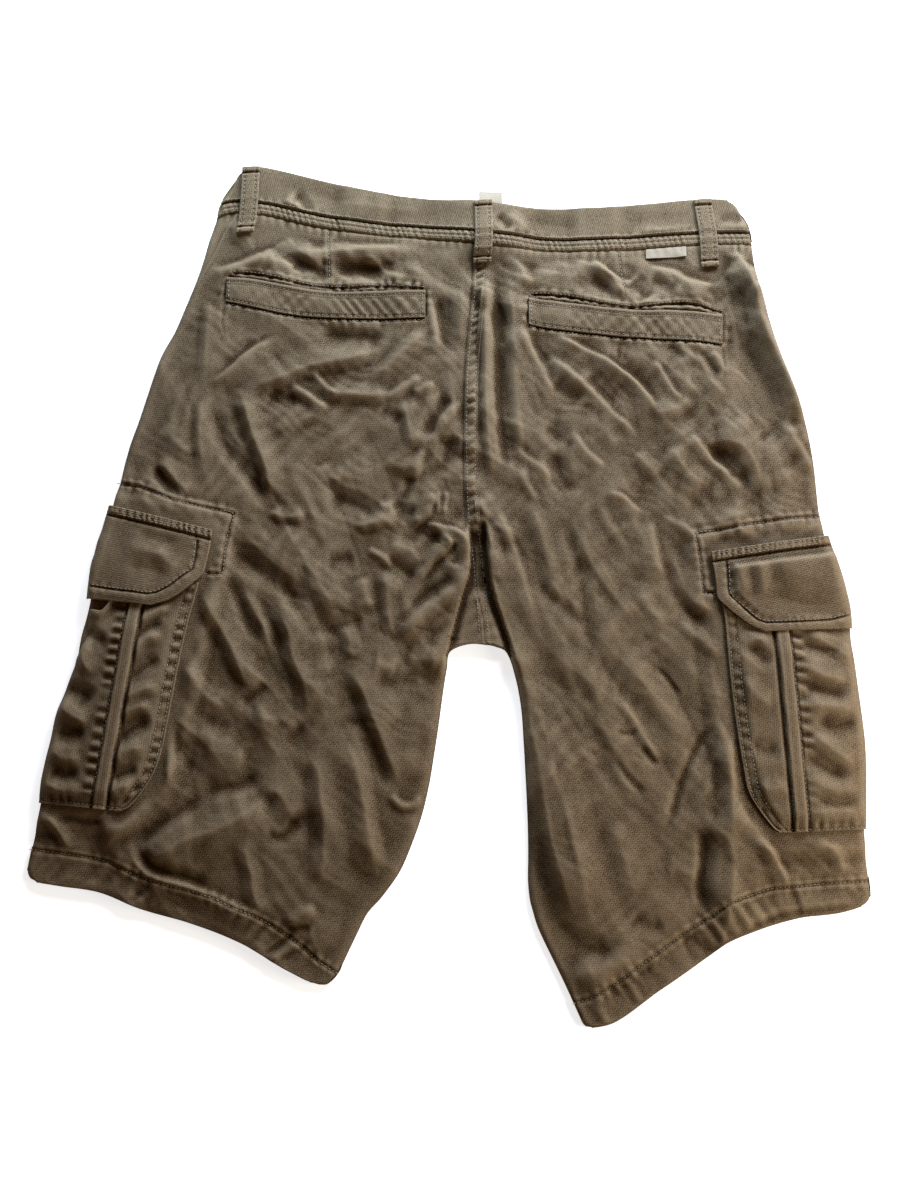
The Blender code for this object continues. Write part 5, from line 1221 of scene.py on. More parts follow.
# --- Stitches -------------------------------------------------------------------------------------
def stitch_points(points, height, offset, settings):
    """Starts and ends of stitches along a line in plan, offset to its left, on a height."""
    path = smooth_path(points, 8)
    if offset:
        along = np.gradient(path, axis=0)
        along /= np.linalg.norm(along, axis=1, keepdims=True)
        path = path + offset * np.column_stack([-along[:, 1], along[:, 0]])
    at = np.concatenate([[0.0], np.cumsum(np.hypot(*np.diff(path, axis=0).T))])
    count = max(int(at[-1] / (settings.stitch_length / MM * 1.28)), 1)
    starts = (np.arange(count) + 0.12) * at[-1] / count
    ends = starts + 0.78 * at[-1] / count
    pairs = []
    for place in (starts, ends):
        x, y = np.interp(place, at, path[:, 0]), np.interp(place, at, path[:, 1])
        pairs.append(np.column_stack([x, y, height(x, y)]))
    return np.stack(pairs, axis=1)


def thread_mesh(name, pairs, settings):
    """Small sunk-ended loops of thread from pairs of points."""
    radius = settings.thread_width / MM / 2
    start, end = pairs[:, 0], pairs[:, 1]
    way = end - start
    way /= np.linalg.norm(way, axis=1, keepdims=True)
    across = np.cross(UP, way)
    across /= np.linalg.norm(across, axis=1, keepdims=True)
    up = np.cross(way, across)
    angles = np.arange(THREAD_SIDES) * 2 * math.pi / THREAD_SIDES
    rings = []
    for share, wide, rise in THREAD_RINGS:
        centre = mix(start, end, share) + up * rise * radius
        ring = [centre + wide * radius * (across * math.cos(a) + up * math.sin(a)) for a in angles]
        rings.append(np.stack(ring, axis=1))
    points = np.stack(rings, axis=1).reshape(-1, 3)
    last = THREAD_SIDES * (len(THREAD_RINGS) - 1)
    faces = [(k + a, k + b, k + THREAD_SIDES + b, k + THREAD_SIDES + a)
             for k in range(0, last, THREAD_SIDES)
             for a, b in zip(range(THREAD_SIDES), (*range(1, THREAD_SIDES), 0))]
    caps = [tuple(range(THREAD_SIDES))[::-1], tuple(range(last, last + THREAD_SIDES))]
    first = (last + THREAD_SIDES) * np.arange(len(pairs))[:, None, None]
    faces = [(np.array(loop)[None] + first).reshape(-1, len(loop[0])).tolist() for loop in (faces, caps)]
    mesh = bpy.data.meshes.new(name)
    mesh.from_pydata(placed(points), [], faces[0] + faces[1])
    mesh.shade_smooth()
    return mesh


def add_stitches(name, lines, settings):
    """The stitching of one piece: lines are (points, height function, offset)."""
    pairs = np.concatenate([stitch_points(*line, settings) for line in lines])
    return add_piece(name, thread_mesh(name, pairs, settings), finish("thread"))


# --- Shader node groups ---------------------------------------------------------------------------
def add_node(tree, kind, links=None, **settings):
    """A node with its settings and inputs; an input is a value or another node's output."""
    node = tree.nodes.new(kind)
    for key, value in settings.items():
        setattr(node, key, value)
    for key, value in (links or {}).items():
        if isinstance(value, bpy.types.NodeSocket):
            tree.links.new(value, node.inputs[key])
        else:
            node.inputs[key].default_value = value
    return node


def maths(tree, operation, a, b=None, c=None, clamp=False):
    """The result of a math node."""
    links = {k: v for k, v in enumerate((a, b, c)) if v is not None}
    return add_node(tree, "ShaderNodeMath", links, operation=operation, use_clamp=clamp).outputs[0]


def centred(tree, value):
    """A value from 0 to 1, less a half."""
    return maths(tree, "SUBTRACT", value, 0.5)


def noise(tree, place, scale, detail, roughness=0.5):
    """The value of a noise texture."""
    links = {"Vector": place, "Scale": scale, "Detail": detail, "Roughness": roughness}
    return add_node(tree, "ShaderNodeTexNoise", links).outputs["Fac"]


def blended(tree, share, a, b):
    """Colour at a share of the way from a to b."""
    links = {"Factor": share, "A": a, "B": b}
    return add_node(tree, "ShaderNodeMix", links, data_type="RGBA").outputs["Result"]


def new_group(name, inputs, outputs):
    """A node group with those sockets: its tree, what it is given and what it makes."""
    tree = bpy.data.node_groups.new(name, "ShaderNodeTree")
    for title, kind, value in inputs:
        socket = tree.interface.new_socket(title, in_out="INPUT", socket_type=kind)
        if value is not None:
            socket.default_value = value
    for title, kind in outputs:
        tree.interface.new_socket(title, in_out="OUTPUT", socket_type=kind)
    return tree, tree.nodes.new("NodeGroupInput").outputs, tree.nodes.new("NodeGroupOutput").inputs


def weave_group():
    """Fine diagonal ribs broken by small dots, as in a dobby twill."""
    name = "dobby twill"
    if name in bpy.data.node_groups:
        return bpy.data.node_groups[name]
    tree, given, made = new_group(
        name,
        (("Cloth", "NodeSocketVector", None), ("Rib spacing", "NodeSocketFloat", 0.0016),
         ("Lean", "NodeSocketFloat", 0.9)),
        (("Shade", "NodeSocketFloat"), ("Height", "NodeSocketFloat")),
    )
    turned = add_node(tree, "ShaderNodeVectorRotate", {"Vector": given["Cloth"], "Angle": given["Lean"]},
                      rotation_type="Z_AXIS")
    split = add_node(tree, "ShaderNodeSeparateXYZ", {0: turned.outputs[0]}).outputs
    turns = maths(tree, "DIVIDE", 2 * math.pi, given["Rib spacing"])
    bent = maths(tree, "MULTIPLY", centred(tree, noise(tree, given["Cloth"], 260.0, 2.0)), 1.8)
    rib = maths(tree, "SINE", maths(tree, "MULTIPLY_ADD", split["X"], turns, bent))
    dot_turns = maths(tree, "MULTIPLY", turns, 0.72)
    dot = maths(tree, "SINE", maths(tree, "MULTIPLY_ADD", split["Y"], dot_turns, bent))
    grain = centred(tree, noise(tree, given["Cloth"], 900.0, 2.0))
    height = maths(tree, "MULTIPLY_ADD", rib, 0.09, 0.5)
    height = maths(tree, "MULTIPLY_ADD", maths(tree, "MULTIPLY", rib, dot), 0.26, height)
    height = maths(tree, "MULTIPLY_ADD", grain, 0.5, height)
    tree.links.new(height, made["Height"])
    tree.links.new(maths(tree, "MULTIPLY_ADD", grain, 0.6, height, clamp=True), made["Shade"])
    return tree


def fade_and_painted_light_group():
    """Garment-dyed colour with uneven clouds: paler on crests (wear and painted highlight), darker in
    creases (painted shade).
    """
    name = "washed colour"
    if name in bpy.data.node_groups:
        return bpy.data.node_groups[name]
    tree, given, made = new_group(
        name,
        (("Cloth", "NodeSocketVector", None), ("Shade", "NodeSocketFloat", 0.5),
         ("Worn", "NodeSocketFloat", 0.0), ("Deep", "NodeSocketColor", (0.05, 0.04, 0.02, 1)),
         ("Pale", "NodeSocketColor", (0.3, 0.25, 0.15, 1)), ("Weave contrast", "NodeSocketFloat", 0.5),
         ("Wear", "NodeSocketFloat", 0.3)),
        (("Colour", "NodeSocketColor"), ("Roughness", "NodeSocketFloat")),
    )
    cloud = centred(tree, noise(tree, given["Cloth"], 9.0, 5.0, 0.62))
    fleck = centred(tree, noise(tree, given["Cloth"], 380.0, 2.0))
    amount = maths(tree, "MULTIPLY_ADD", centred(tree, given["Shade"]), given["Weave contrast"], 0.5)
    # crests paler for wear and as a painted highlight, creases and hollows darker as painted shade
    amount = maths(tree, "MULTIPLY_ADD", given["Worn"], given["Wear"], amount)
    amount = maths(tree, "MULTIPLY_ADD", cloud, 0.55, amount)
    amount = maths(tree, "MULTIPLY_ADD", fleck, 0.36, amount, clamp=True)
    tree.links.new(blended(tree, amount, given["Deep"], given["Pale"]), made["Colour"])
    tree.links.new(maths(tree, "MULTIPLY_ADD", amount, -0.12, 0.82), made["Roughness"])
    return tree


# --- Materials ------------------------------------------------------------------------------------
def finish(name):
    """The material of that name, made when it is first asked for."""
    ready = bpy.data.materials.get(name)
    if ready is not None:
        return ready
    colours = bpy.context.scene.shorts_colours
    material = bpy.data.materials.new(name)
    material.use_nodes = True
    tree = material.node_tree
    surface = tree.nodes["Principled BSDF"]
    if name in CLOTHS:
        cloth_finish(tree, surface, colours, *CLOTHS[name])
    elif name == "thread":
        small_finish(tree, surface, colours.thread_deep, colours.thread_pale, *THREAD_FINISH)
    else:
        small_finish(tree, surface, *SMALL_FINISHES[name])
    return material


def clad(tree, surface, colour, roughness, height, strength, depth):
    """Gives a surface its colour, its roughness and the relief of a height, depth metres deep."""
    bump = add_node(tree, "ShaderNodeBump", {"Height": height, "Strength": strength, "Distance": depth})
    tree.links.new(colour, surface.inputs["Base Color"])
    tree.links.new(roughness, surface.inputs["Roughness"])
    tree.links.new(bump.outputs["Normal"], surface.inputs["Normal"])


def cloth_finish(tree, surface, colours, brightness, spacing, lean):
    """Washed twill, from its dye's brightness, its rib spacing in mm and its lean in degrees."""
    place = tree.nodes.new("ShaderNodeTexCoord").outputs["Object"]
    links = {"Cloth": place, "Rib spacing": spacing * MM, "Lean": math.radians(lean)}
    weave = add_node(tree, "ShaderNodeGroup", links, node_tree=weave_group()).outputs
    links = {
        "Cloth": place,
        "Shade": weave["Shade"],
        # paler crests for wear and as a painted highlight, darker creases and hollows as painted shade
        "Worn": add_node(tree, "ShaderNodeAttribute", attribute_name="worn").outputs["Fac"],
        "Deep": (*[c * brightness for c in colours.deep], 1.0),
        "Pale": (*[c * brightness for c in colours.pale], 1.0),
        "Weave contrast": colours.weave_contrast,
        "Wear": colours.rub_and_painted_light_strength,
    }
    fade = add_node(tree, "ShaderNodeGroup", links, node_tree=fade_and_painted_light_group()).outputs
    clad(tree, surface, fade["Colour"], fade["Roughness"], weave["Height"], 0.55, 0.00035)
    surface.inputs["Specular IOR Level"].default_value = 0.1


def small_finish(tree, surface, deep, pale, scale, rough, bumpy, woven):
    """A finish of two mottled colours, for thread, ribbon and horn; a woven one has fine ribs."""
    place = tree.nodes.new("ShaderNodeTexCoord").outputs["Object"]
    mottle = noise(tree, place, scale, 4.0)
    height = mottle
    if woven:
        links = {"Cloth": place, "Rib spacing": 0.0007, "Lean": 0.0}
        height = add_node(tree, "ShaderNodeGroup", links, node_tree=weave_group()).outputs["Height"]
    colour = blended(tree, mottle, (*deep, 1.0), (*pale, 1.0))
    roughness = maths(tree, "MULTIPLY_ADD", mottle, 0.15, rough - 0.07)
    clad(tree, surface, colour, roughness, height, bumpy, 0.0003)


# --- Settings -------------------------------------------------------------------------------------
def a_number(name, default, description, **kind):
    """A setting of at least 0."""
    return bpy.props.FloatProperty(name=name, description=description, default=default, min=0.0, **kind)


def a_length(name, default, description):
    """A setting in metres."""
    return a_number(name, default, description, unit="LENGTH", precision=5)


def a_share(name, default, description):
    """A setting with no unit."""
    return a_number(name, default, description, subtype="FACTOR")


def a_power(name, default, description):
    """A setting in watts."""
    return a_number(name, default, description, unit="POWER")


def a_colour(name, default, description):
    """A setting for a colour."""
    return bpy.props.FloatVectorProperty(name=name, description=description, default=default, size=3,
                                         min=0.0, max=1.0, subtype="COLOR")


class ShortsSizes(bpy.types.PropertyGroup):
    """Sizes of the cloth and the sewing"""

    panel_cell: a_length("Panel mesh", 0.00145, "Spacing of the back panels' mesh")
    front_cell: a_length("Underside mesh", 0.0032, "Spacing of the front panels' mesh")
    trim_cell: a_length("Trim mesh", 0.001, "Spacing of the mesh of pockets, flaps and the band")
    fold_scale: a_share("Fold height", 0.95, "How high the folds stand, as a share of their own heights")
    wrinkle: a_length("Wrinkle height", 0.00045, "Height of the small wrinkles between the folds")
    stitch_length: a_length("Stitch length", 0.0026, "Length of one stitch")
    thread_width: a_length("Thread width", 0.0006, "Width of the sewing thread")


class ShortsColours(bpy.types.PropertyGroup):
    """Colours of the cloth and the thread"""

    # deep is the colour reached in creases and hollows as painted shade; pale is reached on crests, for wear
    # and as a painted highlight
    deep: a_colour("Deep cloth", (0.026, 0.0125, 0.0022), "The cloth's colour in its darkest creases")
    pale: a_colour("Pale cloth", (0.184, 0.133, 0.077), "The cloth's colour where it is worn palest")
    thread_deep: a_colour("Thread shade", (0.11, 0.088, 0.052), "The thread's darker colour")
    thread_pale: a_colour("Thread", (0.27, 0.225, 0.15), "The thread's lighter colour")
    weave_contrast: a_share("Weave contrast", 0.9, "How strongly the weave shows in the colour")
    # how strongly crests are painted paler (wear and highlight) and creases darker (painted shade)
    rub_and_painted_light_strength: a_share("Wear", 0.28, "How much paler crests are than creases")


class ShortsStudio(bpy.types.PropertyGroup):
    """The floor and the lights"""

    floor: a_colour("Floor", (0.885, 0.9, 0.92), "The floor's colour")
    key_power: a_power("Key light", 57.0, "Power of the light beyond the right of the waist")
    window_power: a_power("Window light", 7.5, "Power of the cool light close above the waist")
    fill_power: a_power("Fill light", 5.5, "Power of the warm light beside the right leg")
    room_light: a_share("Room light", 0.13, "Strength of the even light from the room")


def sizes():
    """The settings for sizes."""
    return bpy.context.scene.shorts_sizes


# --- Back and front panels ------------------------------------------------------------------------
def snapped(grid, lines, reach):
    """The grid with points near a sewn line moved onto it, so that the line stays crisp."""
    x, y = grid[..., 0], grid[..., 1]
    for points in lines:
        chain = np.array(points, float)
        box = box_round(chain, reach, x, y)
        for start, end in zip(chain[:-1], chain[1:]):
            way = end - start
            t = ((x - start[0]) * way[0] + (y - start[1]) * way[1]) / (way @ way)
            on_x, on_y = start[0] + t * way[0], start[1] + t * way[1]
            near = box & (t >= 0) & (t <= 1) & (np.hypot(x - on_x, y - on_y) < reach)
            x[near] = on_x[near]
            y[near] = on_y[near]
    return grid


def hem_turned(grid, spacing, way):
    """The grid carried on round its hem and back up inside the leg."""
    out = level_way(grid[-3], grid[-1])
    rows = [grid[-1] + out * a + UP * way * b for a, b in HEM_TURN]
    for back in (3, 7, 11, 14):
        row = grid[-1 - int(round(back * 1.6 / spacing))].copy()
        row[:, 2] += way * 2.0
        rows.append(row)
    return np.concatenate([grid, np.array(rows)])


def back_grid(side, spacing, settings):
    """The back of one leg: from the side seam to the seat seam or the inner edge, waist to hem."""
    sections, turn, on_seat = leg_sections(side, spacing)
    columns = int(sections.full.max() / spacing) + 1
    path = mix(np.maximum(turn, 0.0), sections.full, np.linspace(0.0, 1.0, columns)[None])
    path = np.maximum(path, ON_EDGE)
    flat = sections.skin(path, nowhere)
    moved = snapped(flat.copy(), SNAP_LINES, 0.5 * spacing)
    shift = moved[..., :2] - flat[..., :2]

    def top(x, y):
        return back_top(side, x + shift[..., 0], y + shift[..., 1], settings)

    grid = sections.skin(path, top)
    grid[..., :2] += shift
    if side > 0:
        tucked = grid[:, -1].copy()
        tucked[:, 0] -= np.where(on_seat, 3.0, 0.0)
        grid = np.concatenate([grid, tucked[:, None]], axis=1)
    grid[0, :, 1] += UNDER_BAND
    grid[0, :, 2] -= 1.2
    if side < 0:
        grid = turned_side(grid, 0.35, 0.6)
        grid[turn[:, 0] > 0.5, 0, 2] -= 1.2
    return hem_turned(grid, spacing, -1.0)


def front_grid(side, spacing, settings):
    """The front of one leg, on the floor, with its side seam turned onto the back."""
    sections, turn, _ = leg_sections(side, spacing)
    columns = int(sections.full.max() / spacing) + 1
    start = np.where(turn > 0.5, turn + 3.0, 0.0)
    path = mix(start, -sections.full, np.linspace(0.0, 1.0, columns)[None])
    path = np.where(path == 0.0, -ON_EDGE, path)
    grid = sections.skin(path, lambda x, y: back_top(side, x, y, settings) - 1.1)
    grid[0, :, 1] += UNDER_BAND
    return hem_turned(grid, spacing, 1.0)


def panel_stitches(side, name, settings):
    """Stitching of a back panel: hem, welt frame, pocket frame and, on the left, the seat seam."""
    def top(x, y):
        return back_top(side, x, y, settings) + STITCH_RISE

    lines = [(points, top, offset) for points, offset in PANEL_STITCHES[side]]
    if side < 0:
        seam = [(row[2], row[3]) for row in LEFT_ROWS[1:SEAT_ROWS - 1]]
        lines += [([(x - off, y) for x, y in seam], top, 0.0) for off in (1.6, SEAT_LAP - 1.6)]
    return add_stitches("back_stitches_" + name, lines, settings)


class SHORTS_OT_back_panels(bpy.types.Operator):
    """Make the two back panels with their folds, seams and turned-up hems"""

    bl_idname = "shorts.back_panels"
    bl_label = "Back panels"

    def execute(self, context):
        settings = sizes()
        for side, name in SIDES:
            grid = back_grid(side, settings.panel_cell / MM, settings)
            piece = add_cloth("back_cloth_" + name, [grid], [side > 0], "back cloth",
                              "back_" + name)
            panel_stitches(side, name, settings)
        return {"FINISHED"}


class SHORTS_OT_front_panels(bpy.types.Operator):
    """Make the two plain front panels that the garment lies on"""

    bl_idname = "shorts.front_panels"
    bl_label = "Front panels"

    def execute(self, context):
        settings = sizes()
        for side, name in SIDES:
            grid = front_grid(side, settings.front_cell / MM, settings)
            piece = add_cloth("front_cloth_" + name, [grid], [side < 0], "front cloth",
                              "front_" + name)
        return {"FINISHED"}


# --- Waistband ------------------------------------------------------------------------------------
def band_relief(x, y, up):
    """Relief of the band's outer face, up millimetres above its seam."""
    # the stitched lower strip, which is full of gathers
    strip = ease(up / 1.4) * ease((BAND_GROOVE - up) / 1.2)
    relief = -0.9 * bell(up, 0.9) + 0.7 * strip
    relief += 0.8 * strip * waver(x + 0.3 * up, 5.0, 81) * (0.4 + 0.6 * np.abs(up - 5.0) / 4.0)
    relief -= 0.6 * (bell(up - 1.8, 0.6) + bell(up - 8.3, 0.6)) + 0.5 * bell(up - 5.0, 0.9)
    # the groove, and the smooth upper part above it with its folds
    relief -= 1.5 * bell(up - BAND_GROOVE, 0.85)
    relief += 0.9 * ease((up - BAND_GROOVE) / 1.3)
    relief += 0.3 * waver(x, 8.5, 83) * bell(up - BAND_GROOVE - 2.4, 3.0)
    upper = ease((up - BAND_GROOVE) / 5.0)
    relief += upper * (0.7 * cloudy(x, y, 34.0, 84) + 0.35 * cloudy(x, y, 14.0, 85))
    for fold in with_paths(BAND_FOLDS):
        relief += one_fold(fold, x, y, 0.3, upper, 1.8)
    return relief


def band_top(x, y):
    """Height of the band's upper face."""
    low = curve(WAIST_SEAM, x)
    base = BAND_TOP + lift(x, y) + lap_lift(x, y) + 0.5 * np.sin(0.045 * x + 0.6)
    return base + band_relief(x, y, np.maximum(y - low, 0.0))


def band_grid(path, rows, upper, end_layer=0.0):
    """Points of the band: the path is shares of its length from the left end, rows of its depth."""
    share_up = rows[:, None]
    left, right = curve(BAND_LEFT_END, share_up), curve(BAND_RIGHT_END, share_up)
    width = right - left
    full = width + 2 * (math.pi / 2 - 1) * ROLL
    length = path[None] * full
    near, near_roll = rolled(length, ROLL)
    far, far_roll = rolled(full - length, ROLL)
    at_far = length > full / 2
    distance = np.where(at_far, width - far, near)
    roll = np.where(at_far, far_roll, near_roll)
    x = mix(left, right, distance / width)
    y = mix(curve(WAIST_SEAM, x), curve(WAIST_TOP, x), share_up)
    middle = BAND_SEAM_Z + lift(x, y)
    if upper:
        z = middle + (band_top(x, y) - middle) * roll
    else:
        bottom = lift(x, y) + end_layer * ease((FRONT_LAP + 26.0 - (x - LAP_X)) / 18.0)
        z = middle - (middle - bottom) * roll
    return np.stack([x, y, z], axis=-1)


def banded(grid, way):
    """A face of the band carried on over its top fold and down inside it, and under its seam."""
    up = UP * way
    out = level_way(grid[-2], grid[-1])
    rows = [grid[-1] + out * 1.1 * a + up * b for a, b in BAND_TURN]
    for share in (0.85, 0.6, 0.35, 0.1):
        row = grid[int(share * (len(grid) - 1))].copy()
        row[:, 2] += way * 2.3
        rows.append(row)
    out = level_way(grid[1], grid[0])
    below = [grid[0] + out * 0.6 + up * 1.6, grid[0] + out * 0.5 + up * 0.4]
    return np.concatenate([np.array(below), grid, np.array(rows)])


def band_stitches(settings):
    """Stitching of the band: three lines along it, which stop at the belt loops."""
    lines = []
    for up in (1.8, 8.3, BAND_GROOVE + 2.2):
        for first, last in BETWEEN_LOOPS:
            xs = np.linspace(first, last, max(int((last - first) / 12), 3))
            points = [(x, float(curve(WAIST_SEAM, x)) + up) for x in xs]
            lines.append((points, lambda x, y: band_top(x, y) + STITCH_RISE, 0.0))
    return add_stitches("waistband_stitches", lines, settings)


class SHORTS_OT_waistband(bpy.types.Operator):
    """Make the waistband: its stitched lower strip, its smooth upper part and its inner face"""

    bl_idname = "shorts.waistband"
    bl_label = "Waistband"

    def execute(self, context):
        settings = sizes()
        cell = settings.trim_cell / MM
        across = np.linspace(0.0, 1.0, int(452 / (1.15 * cell)) + 1)
        back = band_grid(across, np.linspace(0.0, 1.0, int(38 / (0.8 * cell)) + 1), True)
        coarse = np.linspace(0.0, 1.0, 15)
        left = band_grid(np.linspace(0.0, 0.5 + FRONT_LAP / 460.0, 60), coarse, False)
        right = band_grid(np.linspace(1.0, 0.5 - FRONT_LAP / 460.0, 60), coarse, False, LAP_LIFT)
        grids = [banded(back, -1.0), banded(left, 1.0), banded(right, 1.0)]
        piece = add_cloth("waistband_cloth", grids, [False, True, False], "band cloth",
                          "waistband")
        band_stitches(settings)
        return {"FINISHED"}


# --- Belt loops -----------------------------------------------------------------------------------
def under_loop(x, y, settings):
    """What a belt loop lies on: the band, or the panel below its seam."""
    seam = curve(WAIST_SEAM, x)
    panel = back_top(-1, x, np.minimum(y, seam), settings)
    edge = band_top(x, seam + 2.0)
    near = ease((y - seam + 9.0) / 4.0)
    below = np.maximum(panel, mix(panel, edge, near))
    return np.where(y > seam, band_top(x, np.maximum(y, seam)), below)


def sway(share):
    """How far a loop swings to the side at a share of its length."""
    return 0.8 * np.sin(share * math.pi * 1.3)


def bow(share):
    """How far a loop bows up between its tacked ends."""
    return 0.9 * np.sin(math.pi * share) ** 2


def add_back_loop(name, foot_x, foot_y, head_x, head_y, settings):
    """A loop that shows, with its tacked ends and its two lines of stitches."""
    along = np.linspace(0.0, 1.0, 84)[:, None]
    across = np.linspace(-0.5, 0.5, 23)[None]
    x = mix(foot_x, head_x, along) + across * LOOP_WIDTH + sway(along)
    y = mix(foot_y, head_y, along) + 0.9 * across
    # it rests on the highest of what lies across beneath it, smoothed along its length
    under = [under_loop(x[:, k], y[:, k], settings) for k in (0, 6, 11, 16, 22)]
    resting = np.pad(np.max(under, axis=0), 3, mode="edge")
    resting = np.convolve(resting, np.ones(7) / 7, mode="valid")[:, None]
    # bars of tacking at its ends, a crowned face, and gathers along its stitches
    off_seam = np.abs(across) * LOOP_WIDTH - LOOP_SEAM
    from_end = np.minimum(along, 1.0 - along)
    bar = 1.0 - ease((from_end - 0.055) / 0.02)
    crown = 0.5 * (1.0 - (2 * across) ** 2) - 0.5 * bell(off_seam, 0.7)
    ridges = 0.25 * waver(along * 55.0, 5.5, 91) * bell(off_seam, 2.0)
    z = resting + LAY_GAP + TRIM + bow(along) + crown + ridges + 0.9 * bar
    z = z - 0.8 * bell((from_end - 0.075) * 55.0, 0.9)
    grid = turned_sides(turned_ends(np.stack([x, y, z], axis=-1), 0.7, 1.4), 0.6, 1.1)
    piece = add_cloth("cloth_" + name, [grid], [True], "loop cloth", name)
    rest = list(zip(along[:, 0], resting[:, 0]))

    def on_loop(x, y):
        share = (y - foot_y) / (head_y - foot_y)
        return curve(rest[::6] + rest[-1:], share) + LAY_GAP + TRIM + bow(share) + 0.1

    lines = []
    for edge in (-LOOP_SEAM, LOOP_SEAM):
        points = [(mix(foot_x, head_x, s) + edge + sway(s), mix(foot_y, head_y, s) + 0.9 * edge / LOOP_WIDTH)
                  for s in np.linspace(0.09, 0.91, 9)]
        lines.append((points, on_loop, 0.0))
    stitches = add_stitches("stitches_" + name, lines, settings)


def face_down(x, y, depth):
    """A strip on the floor: its outer face looks down, that far above the floor, and its edges turn up."""
    grid = turned_sides(np.stack([x, y, -depth], axis=-1), 0.5, 0.7)
    grid = turned_ends(grid, 0.5, 0.7)
    grid[..., 2] *= -1.0
    return grid


class SHORTS_OT_belt_loops(bpy.types.Operator):
    """Make the five belt loops, the three at the back with their tacked ends"""

    bl_idname = "shorts.belt_loops"
    bl_label = "Belt loops"

    def execute(self, context):
        for loop in BACK_LOOPS:
            add_back_loop(*loop, sizes())
        for name, x_at, foot_y, head_y in FRONT_LOOPS:
            x, y = np.meshgrid(x_at + np.linspace(-0.5, 0.5, 11) * LOOP_WIDTH,
                               mix(foot_y, head_y, np.linspace(0.0, 1.0, 40)))
            grid = face_down(x, y, np.full_like(x, 0.05))
            piece = add_cloth("cloth_" + name, [grid], [False], "loop cloth", name)
        return {"FINISHED"}


# --- Welts ----------------------------------------------------------------------------------------
def welt_face(side, x, y, settings):
    """Height of a welt's outer face: stitched all round, on the panel without its pressed lines."""
    table = WELT_TABLES[side]
    foot, top = curve(welt_edge(table, 2), x), curve(welt_edge(table, 1), x)
    up = y - foot
    down = top - y
    body = LAY_GAP + TRIM + 0.45 * np.sin(math.pi * np.clip(up / (top - foot), 0, 1)) ** 0.8
    grooves = 0.6 * bell(up - 1.5, 0.7) + 0.5 * bell(down - 2.6, 0.6) + 0.35 * bell(down - 5.2, 0.6)
    # crossing gathers, fewer at the ends
    busy = ease((x - table[0][0]) / 70.0) * ease((table[-1][0] + 14.0 - x) / 30.0)
    crossing = waver(x + 0.75 * up, 9.5, 101 + side) - 0.8 * waver(x - 0.9 * up, 13.0, 105 + side)
    pucker = 0.32 * busy * crossing * ease(up / 4.0) * ease((down - 3.5) / 4.0)
    body += 0.3 * waver(x, 6.0, 103 + side) * bell(up - 1.0, 2.0)
    panel = BACK_TOP + lift(x, y) + lap_lift(x, y) + PUFF
    panel = panel + settled(swell(x, y) + 0.45 * fold_height(x, y, settings))
    return panel + body - grooves + pucker + 0.5 * ease((3.0 - down) / 1.5)


def welt_grid(side, settings):
    """A welt with its edges turned down."""
    table = WELT_TABLES[side]
    xs = np.linspace(table[0][0], table[-1][0], 164)[:, None]
    foot, top = curve(welt_edge(table, 2), xs), curve(welt_edge(table, 1), xs)
    y = mix(foot, top, np.linspace(0.0, 1.0, 25)[None])
    x = xs + 0.0 * y
    grid = np.stack([x, y, welt_face(side, x, y, settings)], axis=-1)
    return turned_ends(turned_side(turned_side(grid, 0.8, 1.4), 0.6, 0.9, "first"), 0.5, 1.0)


def welt_stitches(side, name, settings):
    """Stitching of a welt: along its top and its foot, and across both its ends."""
    def on_face(x, y):
        return welt_face(side, x, y, settings) + 0.14

    table = WELT_TABLES[side]
    lines = []
    for column, off in ((1, -2.6), (2, 1.5)):
        inset = list(welt_edge(table, column, off))
        inset[0] = (inset[0][0] + 2.0, inset[0][1])
        inset[-1] = (inset[-1][0] - 2.0, inset[-1][1])
        lines.append((inset, on_face, 0.0))
    for (x_at, top, foot), shift in ((table[0], 1.8), (table[-1], -1.8)):
        points = [(x_at + shift, y_at) for y_at in np.linspace(foot + 2.0, top - 2.0, 4)]
        lines.append((points, on_face, 0.0))
    return add_stitches("stitches_welt_" + name, lines, settings)


class SHORTS_OT_welts(bpy.types.Operator):
    """Make the single welts of the two back pockets"""

    bl_idname = "shorts.welts"
    bl_label = "Welts"

    def execute(self, context):
        settings = sizes()
        for side, name in SIDES:
            piece = add_cloth("cloth_welt_" + name, [welt_grid(side, settings)], [False], "welt cloth",
                              "welt_" + name)
            welt_stitches(side, name, settings)
        return {"FINISHED"}


# --- Cargo pockets --------------------------------------------------------------------------------
def patch_grids(side, table, cell, face, out):
    """A pocket's or a flap's outer face, and the part of it that is wrapped round onto the front."""
    sections = patch_sections(side, table, cell)
    full = sections.width + (math.pi / 2 - 1) * ROLL
    columns = int(full.max() / cell) + 1
    over = mix(full, ON_EDGE, np.linspace(0.0, 1.0, columns)[None])
    beneath = mix(-ON_EDGE, -full, np.linspace(0.0, 1.0, columns // 2)[None])
    return sections.skin(over, face, out), sections.skin(beneath, nowhere, out)


